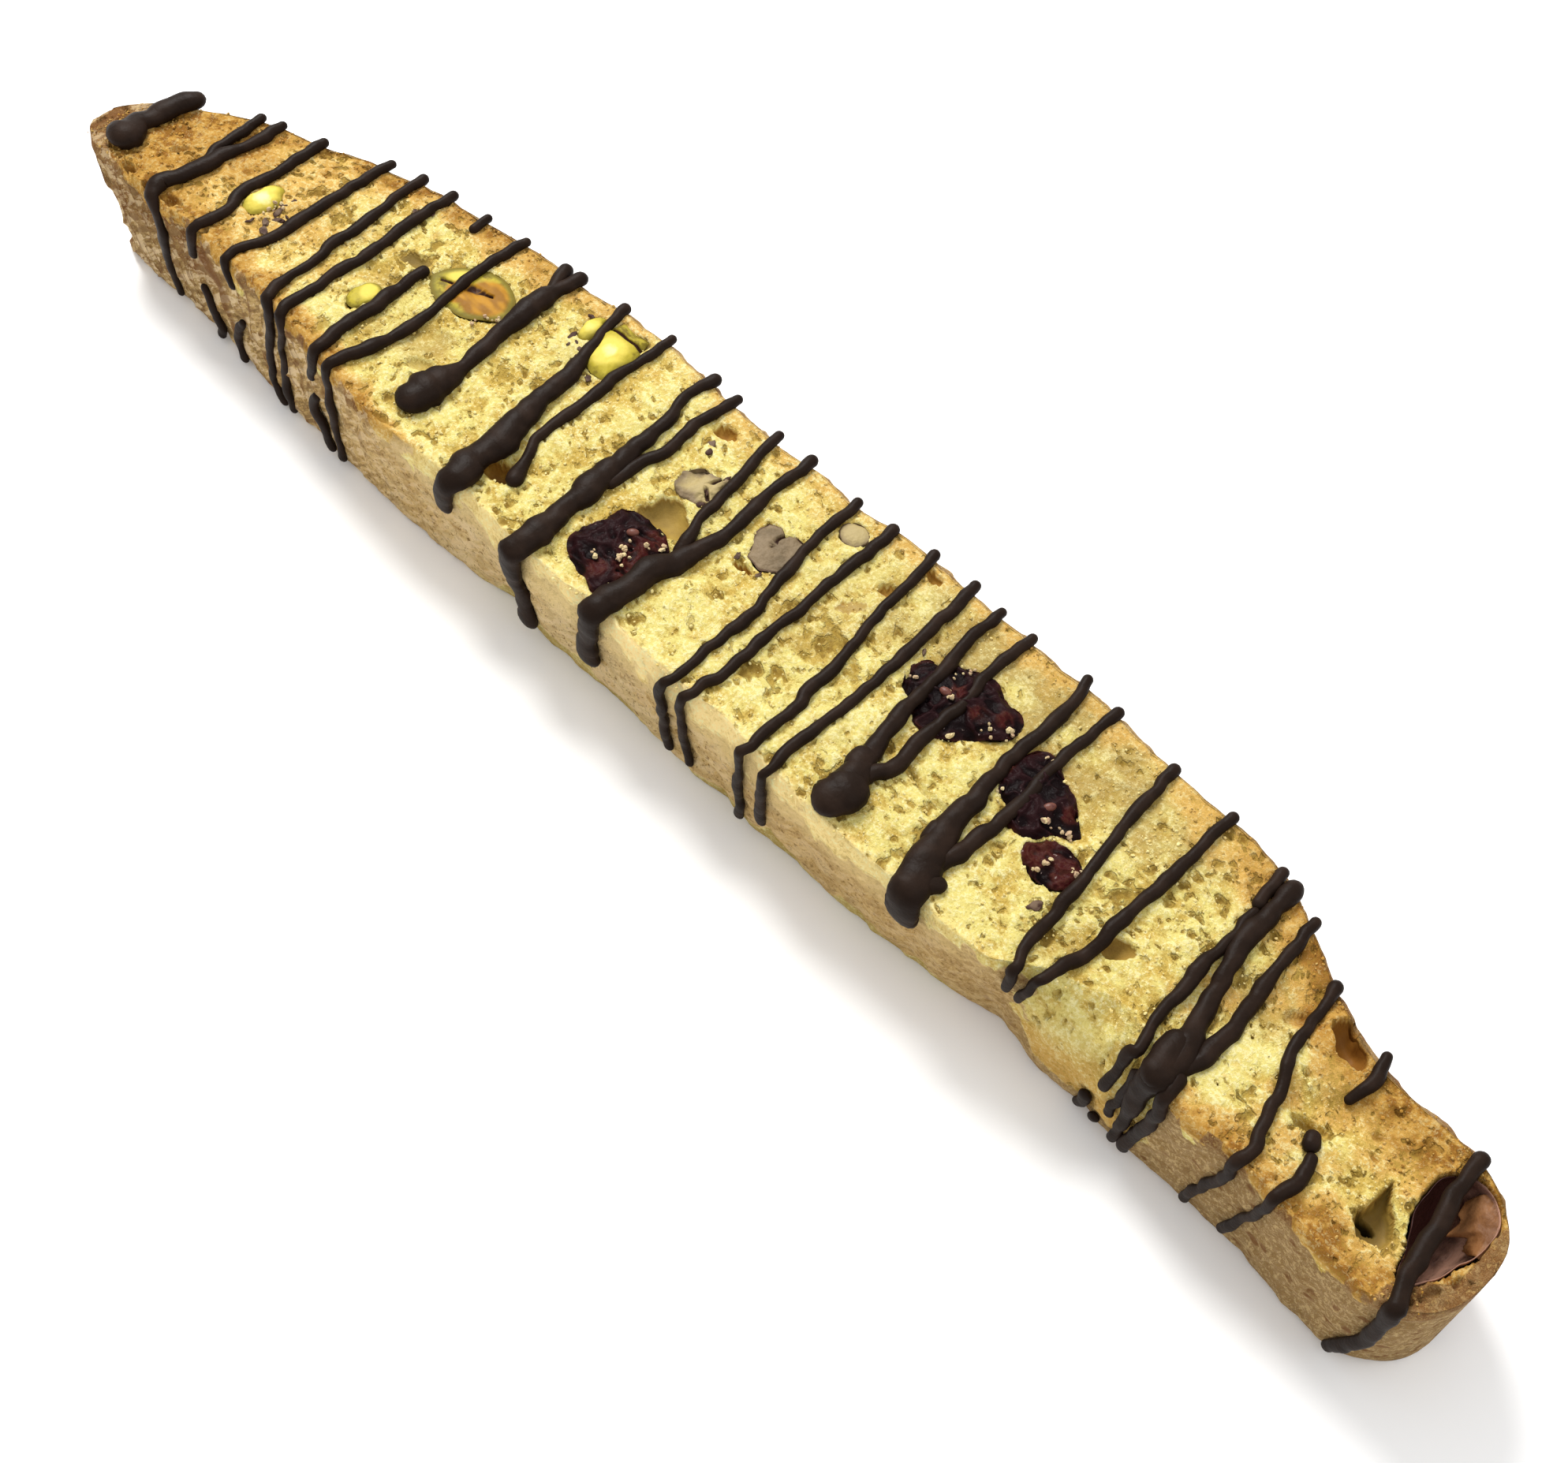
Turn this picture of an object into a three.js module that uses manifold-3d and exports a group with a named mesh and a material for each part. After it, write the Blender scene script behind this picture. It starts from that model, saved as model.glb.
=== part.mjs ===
import * as THREE from "three";
import Module from "manifold-3d";
import { ImprovedNoise } from "three/addons/math/ImprovedNoise.js";
import { mergeVertices } from "three/addons/utils/BufferGeometryUtils.js";

// A long biscotti, cut on the slant from a baked log and lying on one of its two cut faces. The other cut
// face is up. Chocolate drizzle crosses it and runs down the log's flat bottom crust. Dried cranberries,
// pistachios and nuts show where the knife went through them.
//
// Millimetres. While it is shaped, X runs from the pointed end at 0 to the blunt end, Y from the flat bottom
// crust near 0 to the domed top crust, and Z up from the lower cut face. At the end the whole is moved so
// that the origin is under the middle of its box.

// Driving dimensions
const LENGTH = 183;
const DOME_HEIGHT = 26;
const THICKNESS = 15;
const FIT_GAP = 0.3;

// Outline of the cut face
const TIP_Y = 2.6;
const TIP_ROUND = 3;
const DOME_TAPER = 70;
const DOME_POWER = 0.52;
const SHOULDER = { start: 141, end: 169, drop: 10 };
const BLUNT_START = 175.5;
const BLUNT_MIDDLE = 8;
const BLUNT_POWER = 2.4;

// Flat crust: how far its upper edge stands out along the middle, and how its foot wanders
const BELLY = { start: 36, full: 56, fade: 112, end: 142, out: 1.7 };
const HEEL = { start: 142, full: 162, fade: 168, end: 180, in: 1.2 };
const FOOT = { out: 0.8, in: 1.2, start: 62, middle: 105, end: 135 };
const CHIP = { start: 136, end: 158, top: 3, foot: 1.2 };
const WRINKLES = { start: 6, end: 62, pitch: 1.35, depth: 0.35 };

// Unevenness: how far apart the bumps lie, how high they are, and where in the noise they are read
const DOME_WANDER = { size: 13, height: 0.6, row: 0 };
const FLAT_WANDER = { size: 7, height: 0.55, row: 3 };
const FACE_WAVES = { size: 4.3, height: 0.3, row: 0 };
const FACE_GRAIN = { size: 2.1, height: 0.22, row: 9 };

// Ends and edges
const TIP_LEAN = 5.4;
const TIP_LEAN_POWER = 0.75;
const TIP_LIP = 1.1;
const TIP_LIP_LEVEL = 0.25;
const TIP_SAG = 0.25;
const TIP_SAG_LENGTH = 7;
const BLUNT_LEAN = 1;
const DOME_BULGE = 0.5;
const EDGE_ROUND = 0.35;
const ROUND_LEVELS = { foot: 0.12, rim: 0.85 };
const MOST_INSET = 0.2;

// Mesh of the crumb. Levels go from the lower cut face at 0 to the upper one at 1.
const STATIONS = 56;
const STATION_CROWDING = 0.82;
const END_MARGIN = 0.12;
const TOP_CELLS = 7;
const BOTTOM_CELLS = 3;
const WALL_LEVELS = [0, 0.12, 0.4, 0.7, 0.93, 1];

// Drizzle
const STRAND_SIDES = 5;
const STRAND_STEP = 4.6;
const STRAND_CAP_RINGS = 1;
const STRAND_FLATNESS = 0.9;
const STRAND_LIFT = 0.12;
const STRAND_WAVE = 0.3;
const DRIP_STEP = 4;
const DRIP_START = 0.4;
const BLOB_REACH = 2.4;
const DRIZZLE_SEED = 41;

// Where each strand starts and ends on the cut face, its width at both ends and how far it bows along X in
// between. drip is how far it runs down the flat crust, lean how far its foot moves along X, and blob the
// width of a thick end.
const STRANDS = [
  { from: [6.2, 11.6], to: [5.6, 2.9], width: [2.1, 2.1], bow: -2.3, blob: 2.6 },
  { from: [12.7, 15], to: [13.6, 7.6], width: [1.3, 1.3], bow: 0.3 },
  { from: [15.2, 16], to: [13.1, 2.2], width: [1.4, 1.8], bow: 0.8, blob: 2.4 },
  { from: [20.3, 17.8], to: [21.4, 0.6], width: [1.3, 1.3], bow: -0.5, drip: 3, lean: -0.6 },
  { from: [27.8, 21], to: [27.2, 0.4], width: [1.3, 1.3], bow: 0.6, drip: 2, lean: 0.6 },
  { from: [32, 22], to: [34.3, 0.2], width: [1.3, 1.3], bow: 0, drip: 14.1, lean: 0 },
  { from: [36.1, 22.8], to: [37, 0], width: [1.3, 1.3], bow: 0, drip: 14.1, lean: -1.6 },
  { from: [41.1, 23.4], to: [41.2, 21.4], width: [1.1, 1.1], bow: 0 },
  { from: [42.5, 13.6], to: [43.6, -0.6], width: [1.4, 1.4], bow: -0.2, drip: 12.5, lean: 0.6 },
  { from: [46.5, 24.2], to: [46.2, -0.6], width: [1.3, 1.3], bow: 0.6, drip: 13.6, lean: -1.6 },
  { from: [52.5, 24.5], to: [54, 20.6], width: [1.8, 1.8], bow: 0 },
  { from: [54.4, 24.9], to: [54.8, 3.2], width: [1.9, 2.2], bow: 0.2, blob: 3.4 },
  { from: [60.6, 25.5], to: [65.8, -0.8], width: [1.3, 2.3], bow: 0.8, drip: 4, lean: -0.4, blob: 2.4 },
  { from: [66.9, 26.2], to: [69.6, 3.4], width: [1.2, 1.3], bow: -1, blob: 1.6 },
  { from: [73.8, 25.9], to: [76.7, -0.9], width: [1.5, 2.3], bow: 0, drip: 12, lean: 0, blob: 2.3 },
  { from: [77.2, 25.8], to: [76.4, 9.4], width: [1.2, 1.2], bow: 0.3 },
  { from: [83.4, 25.6], to: [87.4, 8.6], width: [1.2, 1.2], bow: 0.2 },
  { from: [87.9, 25.7], to: [87.5, -0.9], width: [1.5, 2.5], bow: 0.6, drip: 8, lean: -1, blob: 2.3 },
  { from: [94.6, 25.4], to: [97.7, -0.8], width: [1.2, 1.2], bow: 0.2, drip: 12.4, lean: -1 },
  { from: [99.3, 25.5], to: [100.2, -1.1], width: [1.2, 1.2], bow: 0.4, drip: 12.6, lean: -0.8 },
  { from: [104.1, 26.2], to: [108.2, -0.7], width: [1.2, 1.2], bow: 0, drip: 13.4, lean: -1.6 },
  { from: [109.2, 26.5], to: [110.8, -1.1], width: [1.2, 1.2], bow: 0.3, drip: 12, lean: -0.9 },
  { from: [113, 26.1], to: [116.2, 1.2], width: [1.3, 2], bow: 0.1, blob: 3.3 },
  { from: [117, 26], to: [117.2, 4.2], width: [1.1, 1.2], bow: 0.4 },
  { from: [123.5, 26.4], to: [128.2, -1], width: [1.4, 2.4], bow: -1.2, drip: 2.6, lean: 0.2, blob: 3.2 },
  { from: [127.8, 25.8], to: [127.4, 3.4], width: [1.2, 1.3], bow: 0.4 },
  { from: [135.3, 24.9], to: [139.4, 0.6], width: [1.1, 1.2], bow: -0.4, drip: 3, lean: 0.4 },
  { from: [142.1, 24.9], to: [141.2, 2.2], width: [1.2, 1.2], bow: 0.4, drip: 5, lean: -0.8 },
  { from: [148.6, 23.9], to: [150.2, 19.8], width: [1.5, 1.5], bow: 0 },
  { from: [151.1, 21.8], to: [154, 1.6], width: [1.9, 2.2], bow: -0.6, drip: 13, lean: -2.2 },
  { from: [149.6, 18.6], to: [151, 3.8], width: [1.1, 1.2], bow: 0, blob: 1.4 },
  { from: [153.6, 22.3], to: [154.6, 4.2], width: [1.2, 1.8], bow: 1.1 },
  { from: [155.4, 2.6], to: [155.3, 1.6], width: [1.6, 1.6], bow: 0, drip: 12.4, lean: -2.2 },
  { from: [158.6, 18.9], to: [163.5, 1.4], width: [1.1, 1.2], bow: -0.6, drip: 14, lean: -3.2 },
  { from: [165.5, 16.8], to: [165.8, 11.8], width: [1.2, 1.2], bow: 0.5 },
  { from: [166.1, 6.5], to: [167.6, 1.2], width: [1.3, 1.2], bow: 0.7, drip: 12.4, lean: -3.2 },
  { from: [176.5, 15.1], to: [179.6, 1.2], width: [1.6, 1.7], bow: -0.3, drip: 13.6, lean: -2.6 },
];

// Strands that lie on the flat crust alone: X and Z of both ends
const SIDE_STRANDS = [
  { from: [15.2, 14.7], to: [14.9, 1.2], width: 1.4 },
  { from: [21.6, 7.4], to: [22.8, 0.9], width: 1.3 },
  { from: [28.8, 7.8], to: [27.2, 0.9], width: 1.2 },
];

// What the knife cut through. at is the middle on the cut face, size the length, width and depth, turn the
// angle of its length from X, fold the size and depth of its folds in parts of its own size, and rise how far
// its top stands over the cut face.
const CRANBERRY = { colour: 0x43141c, fold: { size: 0.55, height: 0.2, row: 0 }, rise: 0.25, roughness: 0.45 };
const PISTACHIO = { colour: 0xb4b540, fold: { size: 1.2, height: 0.05, row: 0 }, rise: 0.1, roughness: 0.5 };
const NUT = { colour: 0xb39a7f, fold: { size: 0.9, height: 0.09, row: 0 }, rise: 0.05, roughness: 0.6 };
const INCLUSIONS = [
  { name: "pistachio_small", kind: PISTACHIO, at: [22.7, 8.1], size: [4.2, 2.9, 3.6], turn: 73 },
  { name: "pistachio_sliver", kind: PISTACHIO, at: [40.6, 7.6], size: [4, 1.9, 2], turn: 16 },
  { name: "pistachio_half", kind: PISTACHIO, at: [48.3, 15.9], size: [10.4, 6, 4.6], turn: 22 },
  { name: "pistachio_block", kind: PISTACHIO, at: [64, 20.8], size: [8, 6.4, 4.6], turn: 8 },
  { name: "cranberry_far", kind: CRANBERRY, at: [83.2, 5.4], size: [9, 8, 5], turn: -20 },
  { name: "nut_upper", kind: NUT, at: [83.2, 16.3], size: [4.6, 3.2, 3.4], turn: 62 },
  { name: "nut_heart", kind: NUT, at: [93.1, 16.3], size: [5.6, 4.8, 4.4], turn: 40 },
  { name: "nut_edge", kind: NUT, at: [96.8, 22.7], size: [2.9, 2.3, 2.4], turn: 30 },
  { name: "cranberry_middle", kind: CRANBERRY, at: [117.1, 16.6], size: [12.2, 5.8, 4.6], turn: 22 },
  { name: "cranberry_near", kind: CRANBERRY, at: [128.6, 15.1], size: [8, 4.9, 4.8], turn: -12 },
  { name: "cranberry_bit", kind: CRANBERRY, at: [134.5, 10.3], size: [5.6, 4, 3], turn: 0 },
];
const LUMP_DETAIL = 2;
const SMALL_LUMP = 6;
const SMALL_LUMP_DETAIL = 1;
const LUMP_TOP = 0.22;
const LUMP_TOP_SOFTNESS = 0.12;

// Bubbles and empty sockets in the cut face: length, width and depth, and the turn of the length from X
const HOLLOWS = [
  { at: [40.1, 14.8], size: [3.3, 1.6, 0.9], turn: 35 },
  { at: [52.1, 6.3], size: [3.6, 1.9, 0.8], turn: 53 },
  { at: [67.9, 3.4], size: [3.7, 2.6, 2.4], turn: 30 },
  { at: [82.8, 11.2], size: [6.6, 2.6, 1.6], turn: 16 },
  { at: [79.4, 22.4], size: [2.4, 1.5, 1.2], turn: 35 },
  { at: [103.9, 20.5], size: [2.3, 1.4, 1], turn: 40 },
  { at: [121.7, 8], size: [6.4, 0.7, 0.8], turn: -8 },
  { at: [143.8, 8.5], size: [2.8, 1.8, 1.1], turn: 40 },
  { at: [162.3, 15.5], size: [5.4, 3.4, 4.8], turn: 2 },
  { at: [165.1, 7.8], size: [2.5, 1.3, 1.4], turn: 45 },
  { at: [173.8, 6.4], size: [5.2, 3.2, 3.4], turn: 75 },
];
const HOLLOW_SEGMENTS = [8, 4];

// The large pocket in the blunt end that a nut has left, with its papery skin still lining the bottom
const POCKET = { at: [178.2, 9.6], size: [6, 10, 6.4], turn: 8 };
const SKIN_THICKNESS = 0.6;
const SKIN_RIM = 2.6;

const CRUMB = { colour: 0xe9c873, roughness: 0.9 };
const NUT_SKIN = { colour: 0xb08a84, roughness: 0.5 };

const wasm = await Module();
wasm.setup();
const noise = new ImprovedNoise();
const NOISE_SHIFT = 7.31;
const RANDOM_FACTOR = 16807;
const RANDOM_MODULUS = 2147483647;
const WELD_DISTANCE = 1e-4;

function ripple(x, y, z, { size, height, row }) {
  const [u, v, w] = [x, y, z + row].map((place) => place / size + NOISE_SHIFT);
  return height * noise.noise(u, v, w);
}

function ramp(value, start, end) {
  return THREE.MathUtils.smoothstep(value, start, end);
}

// Rises from 0 at start to 1 halfway and falls back to 0 at end
function hump(value, start, end) {
  return Math.sin(Math.PI * THREE.MathUtils.clamp((value - start) / (end - start), 0, 1));
}

function seededRandom(seed) {
  let state = seed;
  return () => {
    state = (state * RANDOM_FACTOR) % RANDOM_MODULUS;
    return state / RANDOM_MODULUS;
  };
}

// Pulls an edge towards the middle of the blunt end as X nears it
function roundBluntEnd(x, y) {
  const run = THREE.MathUtils.clamp((x - BLUNT_START) / (LENGTH - BLUNT_START), 0, 1);
  const width = (1 - run ** BLUNT_POWER) ** (1 / BLUNT_POWER);
  return THREE.MathUtils.lerp(BLUNT_MIDDLE, y, width);
}

// Y of the domed crust. level is 0 at the lower cut face and 1 at the upper one.
function domeEdge(x, level) {
  const run = Math.min(x / DOME_TAPER, 1);
  const arch = (1 - (1 - run) ** 2) ** DOME_POWER;
  const shoulder = SHOULDER.drop * ramp(x, SHOULDER.start, SHOULDER.end);
  const bulge = DOME_BULGE * hump(level, 0, 1) * arch;
  const wander = ripple(x, 0, level * THICKNESS, DOME_WANDER) * arch;
  return roundBluntEnd(x, TIP_Y + (DOME_HEIGHT - TIP_Y) * arch - shoulder + bulge + wander);
}

function flatFoot(x) {
  const chipped = CHIP.foot * hump(x, CHIP.start, CHIP.end);
  const farHalf = FOOT.out * ramp(x, FOOT.start, FOOT.middle);
  return farHalf - FOOT.out + FOOT.in * ramp(x, FOOT.middle, FOOT.end) + chipped;
}

function flatRim(x) {
  const belly = BELLY.out * (ramp(x, BELLY.start, BELLY.full) - ramp(x, BELLY.fade, BELLY.end));
  const heel = HEEL.in * (ramp(x, HEEL.start, HEEL.full) - ramp(x, HEEL.fade, HEEL.end));
  return heel - belly + CHIP.top * hump(x, CHIP.start, CHIP.end);
}

// Y of the flat crust at a level
function flatEdge(x, level) {
  const straight = THREE.MathUtils.lerp(flatFoot(x), flatRim(x), level);
  const wrinkle = WRINKLES.depth * hump(x, WRINKLES.start, WRINKLES.end) * Math.sin(x / WRINKLES.pitch);
  const wander = ripple(x, 0, level * THICKNESS, FLAT_WANDER);
  const tip = Math.sqrt(1 - (1 - Math.min(x / TIP_ROUND, 1)) ** 2);
  return roundBluntEnd(x, THREE.MathUtils.lerp(TIP_Y, straight + wrinkle + wander, tip));
}

// How far the ends lean in under the upper cut face
function slantedX(x, level) {
  const lip = TIP_LIP * (1 - ramp(level, 0, TIP_LIP_LEVEL));
  const tipLean = TIP_LEAN * (1 - level) ** TIP_LEAN_POWER - lip;
  const lean = THREE.MathUtils.lerp(tipLean, -BLUNT_LEAN * (1 - level), x / LENGTH);
  return x + lean * (1 - hump(x, 0, LENGTH));
}

function topHeight(x, y) {
  const sag = TIP_SAG * (1 - Math.min(x / TIP_SAG_LENGTH, 1)) ** 2;
  return THICKNESS - sag + ripple(x, y, 0, FACE_WAVES) + ripple(x, y, 0, FACE_GRAIN);
}

// One ring round the slice: up the flat crust, over the upper face, down the domed crust and back below
function ringAt(x) {
  const ring = [];
  const width = domeEdge(x, 1) - flatEdge(x, 1);
  const rounding = (level) => ramp(level, ROUND_LEVELS.rim, 1) + 1 - ramp(level, 0, ROUND_LEVELS.foot);
  const wall = (level, edge, side) => {
    const y = edge(x, level) + side * Math.min(EDGE_ROUND * rounding(level), MOST_INSET * width);
    const z = level === 1 ? topHeight(x, y) : level * THICKNESS;
    ring.push([slantedX(x, level), y, z]);
  };
  const face = (cells, level, from, to, height) => {
    for (let cell = 1; cell < cells; cell++) {
      const y = THREE.MathUtils.lerp(from, to, cell / cells);
      ring.push([slantedX(x, level), y, height(x, y)]);
    }
  };
  for (const level of WALL_LEVELS) wall(level, flatEdge, 1);
  face(TOP_CELLS, 1, flatEdge(x, 1), domeEdge(x, 1), topHeight);
  for (const level of [...WALL_LEVELS].reverse()) wall(level, domeEdge, -1);
  face(BOTTOM_CELLS, 0, domeEdge(x, 0), flatEdge(x, 0), () => 0);
  return ring;
}

// Stations lie closer together towards both ends
function stationX(index) {
  const t = index / (STATIONS - 1);
  const eased = t - (STATION_CROWDING * Math.sin(2 * Math.PI * t)) / (2 * Math.PI);
  return THREE.MathUtils.lerp(END_MARGIN, LENGTH - END_MARGIN, eased);
}

function crumbGeometry() {
  const rings = Array.from({ length: STATIONS }, (_, index) => ringAt(stationX(index)));
  const count = rings[0].length;
  const middleOf = (ring) => [0, 1, 2].map((axis) => ring.reduce((sum, point) => sum + point[axis], 0) / count);
  const positions = [...rings.flat(), middleOf(rings[0]), middleOf(rings[STATIONS - 1])].flat();
  const indices = [];
  const startCap = STATIONS * count;
  const endCap = startCap + 1;
  for (let k = 0; k < count; k++) {
    const next = (k + 1) % count;
    for (let s = 0; s < STATIONS - 1; s++) {
      const a = s * count;
      const b = a + count;
      indices.push(a + k, b + k, a + next, a + next, b + k, b + next);
    }
    const last = (STATIONS - 1) * count;
    indices.push(startCap, k, next, endCap, last + next, last + k);
  }
  const geometry = new THREE.BufferGeometry();
  geometry.setAttribute("position", new THREE.Float32BufferAttribute(positions, 3));
  geometry.setIndex(indices);
  return geometry;
}

function solidOf(geometry) {
  const bare = geometry.clone();
  bare.deleteAttribute("normal");
  bare.deleteAttribute("uv");
  const welded = mergeVertices(bare, WELD_DISTANCE);
  const vertProperties = new Float32Array(welded.attributes.position.array);
  const triVerts = new Uint32Array(welded.index.array);
  return new wasm.Manifold(new wasm.Mesh({ numProp: 3, vertProperties, triVerts }));
}

function geometryOf(solid) {
  const mesh = solid.getMesh();
  const geometry = new THREE.BufferGeometry();
  geometry.setAttribute("position", new THREE.BufferAttribute(mesh.vertProperties, 3));
  geometry.setIndex(new THREE.BufferAttribute(mesh.triVerts, 1));
  geometry.computeVertexNormals();
  return geometry;
}

function largestPiece(solid) {
  const pieces = solid.decompose();
  return pieces.reduce((best, piece) => (piece.volume() > best.volume() ? piece : best));
}

function moveVertices(geometry, place) {
  const position = geometry.attributes.position;
  const point = new THREE.Vector3();
  for (let i = 0; i < position.count; i++) {
    point.fromBufferAttribute(position, i);
    place(point);
    position.setXYZ(i, point.x, point.y, point.z);
  }
  return geometry;
}

// A closed tube with round ends along a path that never runs along X. widthAt gives its width from 0 to 1.
function tubeAlong(path, widthAt, extra) {
  const steps = Math.max(2, Math.round(path.getLength() / STRAND_STEP));
  const tube = new THREE.CapsuleGeometry(1, steps, STRAND_CAP_RINGS, STRAND_SIDES, steps);
  const across = new THREE.Vector3();
  const lift = new THREE.Vector3();
  return moveVertices(tube, (point) => {
    const along = THREE.MathUtils.clamp(point.y, -steps / 2, steps / 2);
    const t = along / steps + 0.5;
    const tangent = path.getTangentAt(t);
    const radius = widthAt(t) / 2 + extra;
    across.set(1, 0, 0).addScaledVector(tangent, -tangent.x).normalize();
    lift.crossVectors(across, tangent);
    const { x, y, z } = point;
    point.copy(path.getPointAt(t)).addScaledVector(tangent, (y - along) * radius);
    point.addScaledVector(across, x * radius).addScaledVector(lift, z * radius * STRAND_FLATNESS);
  });
}

function strandPoints(strand, random) {
  const [startX, startY] = strand.from;
  const [endX, endY] = strand.to;
  const run = Math.max(1, Math.round((startY - endY) / DRIP_STEP));
  const points = [];
  for (let i = 0; i <= run; i++) {
    const t = i / run;
    const wave = i > 0 && i < run ? STRAND_WAVE * (random() * 2 - 1) : 0;
    const x = THREE.MathUtils.lerp(startX, endX, t) + strand.bow * hump(t, 0, 1) + wave;
    points.push(new THREE.Vector3(x, THREE.MathUtils.lerp(startY, endY, t), THICKNESS + STRAND_LIFT));
  }
  if (strand.drip) {
    const falls = Math.max(1, Math.round(strand.drip / DRIP_STEP));
    for (let i = 0; i <= falls; i++) {
      const z = THICKNESS - THREE.MathUtils.lerp(DRIP_START, strand.drip, i / falls);
      const x = endX + strand.lean * (i / falls);
      points.push(new THREE.Vector3(x, flatEdge(x, z / THICKNESS) - STRAND_LIFT, z));
    }
  }
  return points;
}

function strandSolid(strand, random, extra) {
  const path = new THREE.CatmullRomCurve3(strandPoints(strand, random), false, "centripetal");
  const length = path.getLength();
  const widthAt = (t) => {
    const plain = THREE.MathUtils.lerp(strand.width[0], strand.width[1], t);
    const nearEnd = strand.blob ? ramp(t * length, length - BLOB_REACH, length - BLOB_REACH / 2) : 0;
    return THREE.MathUtils.lerp(plain, strand.blob ?? plain, nearEnd);
  };
  return solidOf(tubeAlong(path, widthAt, extra));
}

function sideStrandSolid({ from, to, width }, extra) {
  const ends = [from, to].map(([x, z]) => new THREE.Vector3(x, flatEdge(x, z / THICKNESS) - STRAND_LIFT, z));
  return solidOf(tubeAlong(new THREE.CatmullRomCurve3(ends), () => width, extra));
}

function drizzleSolid(extra) {
  const random = seededRandom(DRIZZLE_SEED);
  const onFace = STRANDS.map((strand) => strandSolid(strand, random, extra));
  const onSide = SIDE_STRANDS.map((strand) => sideStrandSolid(strand, extra));
  return wasm.Manifold.union([...onFace, ...onSide]);
}

// An ellipsoid of the given full size round a point of the cut face. Its middle lies lower by the share top of
// its depth, and shape may change the unit sphere first.
function ellipsoid(geometry, { at, size, turn }, top, extra, shape = () => {}) {
  const half = size.map((full) => full / 2 + extra);
  const depth = size[2] / (1 + top) + extra;
  const turned = THREE.MathUtils.degToRad(turn);
  const axis = new THREE.Vector3(0, 0, 1);
  return moveVertices(geometry, (point) => {
    shape(point);
    point.set(point.x * half[0], point.y * half[1], point.z * depth).applyAxisAngle(axis, turned);
    point.add(new THREE.Vector3(at[0], at[1], THICKNESS - (depth - extra) * top));
  });
}

// A lump, or the socket that it lies in, which is larger by extra and not flat on top
function inclusionGeometry(inclusion, extra, isSocket) {
  const { fold, rise } = inclusion.kind;
  const [seedX, seedY] = inclusion.at;
  const detail = inclusion.size[0] < SMALL_LUMP ? SMALL_LUMP_DETAIL : LUMP_DETAIL;
  const sphere = new THREE.IcosahedronGeometry(1, detail);
  const geometry = ellipsoid(sphere, inclusion, LUMP_TOP, extra, (point) => {
    point.multiplyScalar(1 + ripple(point.x + seedX, point.y + seedY, point.z, fold));
    const over = Math.max(point.z - LUMP_TOP, 0);
    if (!isSocket) point.z -= over * (1 - LUMP_TOP_SOFTNESS);
  });
  return geometry.translate(0, 0, isSocket ? 0 : rise);
}

function hollowSolid(hollow) {
  const sphere = new THREE.SphereGeometry(1, ...HOLLOW_SEGMENTS);
  return solidOf(ellipsoid(sphere, hollow, 0, 0));
}

function pocketSolid(inset) {
  const sphere = new THREE.IcosahedronGeometry(1, LUMP_DETAIL);
  return solidOf(ellipsoid(sphere, POCKET, 0, -inset));
}

// A thin bowl that lies FIT_GAP clear of the pocket's wall
function skinSolid() {
  const reach = Math.max(...POCKET.size);
  const lid = new THREE.BoxGeometry(2 * reach, 2 * reach, reach);
  lid.translate(POCKET.at[0], POCKET.at[1], THICKNESS - SKIN_RIM + reach / 2);
  const bowl = pocketSolid(FIT_GAP).subtract(pocketSolid(FIT_GAP + SKIN_THICKNESS));
  return bowl.subtract(solidOf(lid));
}

function makeMesh(name, solid, { colour, roughness }) {
  const material = new THREE.MeshStandardMaterial({ color: colour, roughness, metalness: 0 });
  const mesh = new THREE.Mesh(geometryOf(largestPiece(solid)), material);
  mesh.name = name;
  return mesh;
}

function makeBiscuit() {
  const sockets = INCLUSIONS.map((inclusion) => solidOf(inclusionGeometry(inclusion, FIT_GAP, true)));
  const hollows = HOLLOWS.map(hollowSolid);
  const openings = wasm.Manifold.union([...sockets, ...hollows, pocketSolid(0)]);
  return solidOf(crumbGeometry()).subtract(openings).add(drizzleSolid(0));
}

function makeInclusion(inclusion, clearance) {
  return solidOf(inclusionGeometry(inclusion, 0, false)).subtract(clearance);
}

function makeBiscotti() {
  const group = new THREE.Group();
  const clearance = drizzleSolid(FIT_GAP);
  group.add(makeMesh("biscuit", makeBiscuit(), CRUMB));
  for (const inclusion of INCLUSIONS) {
    group.add(makeMesh(inclusion.name, makeInclusion(inclusion, clearance), inclusion.kind));
  }
  group.add(makeMesh("nut_skin", skinSolid().subtract(clearance), NUT_SKIN));
  const box = new THREE.Box3().setFromObject(group);
  const middle = box.getCenter(new THREE.Vector3());
  group.position.set(-middle.x, -middle.y, -box.min.z);
  return group;
}

export default makeBiscotti();
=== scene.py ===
"""A long biscotti, cut on the slant, with chocolate drizzle, cranberries, pistachios and nuts.

Shapes are worked out in millimetres in the slice's own layout: X from the pointed end at 0 to the blunt
end, Y from the flat crust near 0 to the domed crust, Z up from the lower cut face. make_piece moves them
into the frame, in metres.
"""

import math

import bmesh
import bpy
import numpy as np
from bpy.props import FloatProperty, FloatVectorProperty, IntProperty, PointerProperty
from mathutils import Matrix, Vector


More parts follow.
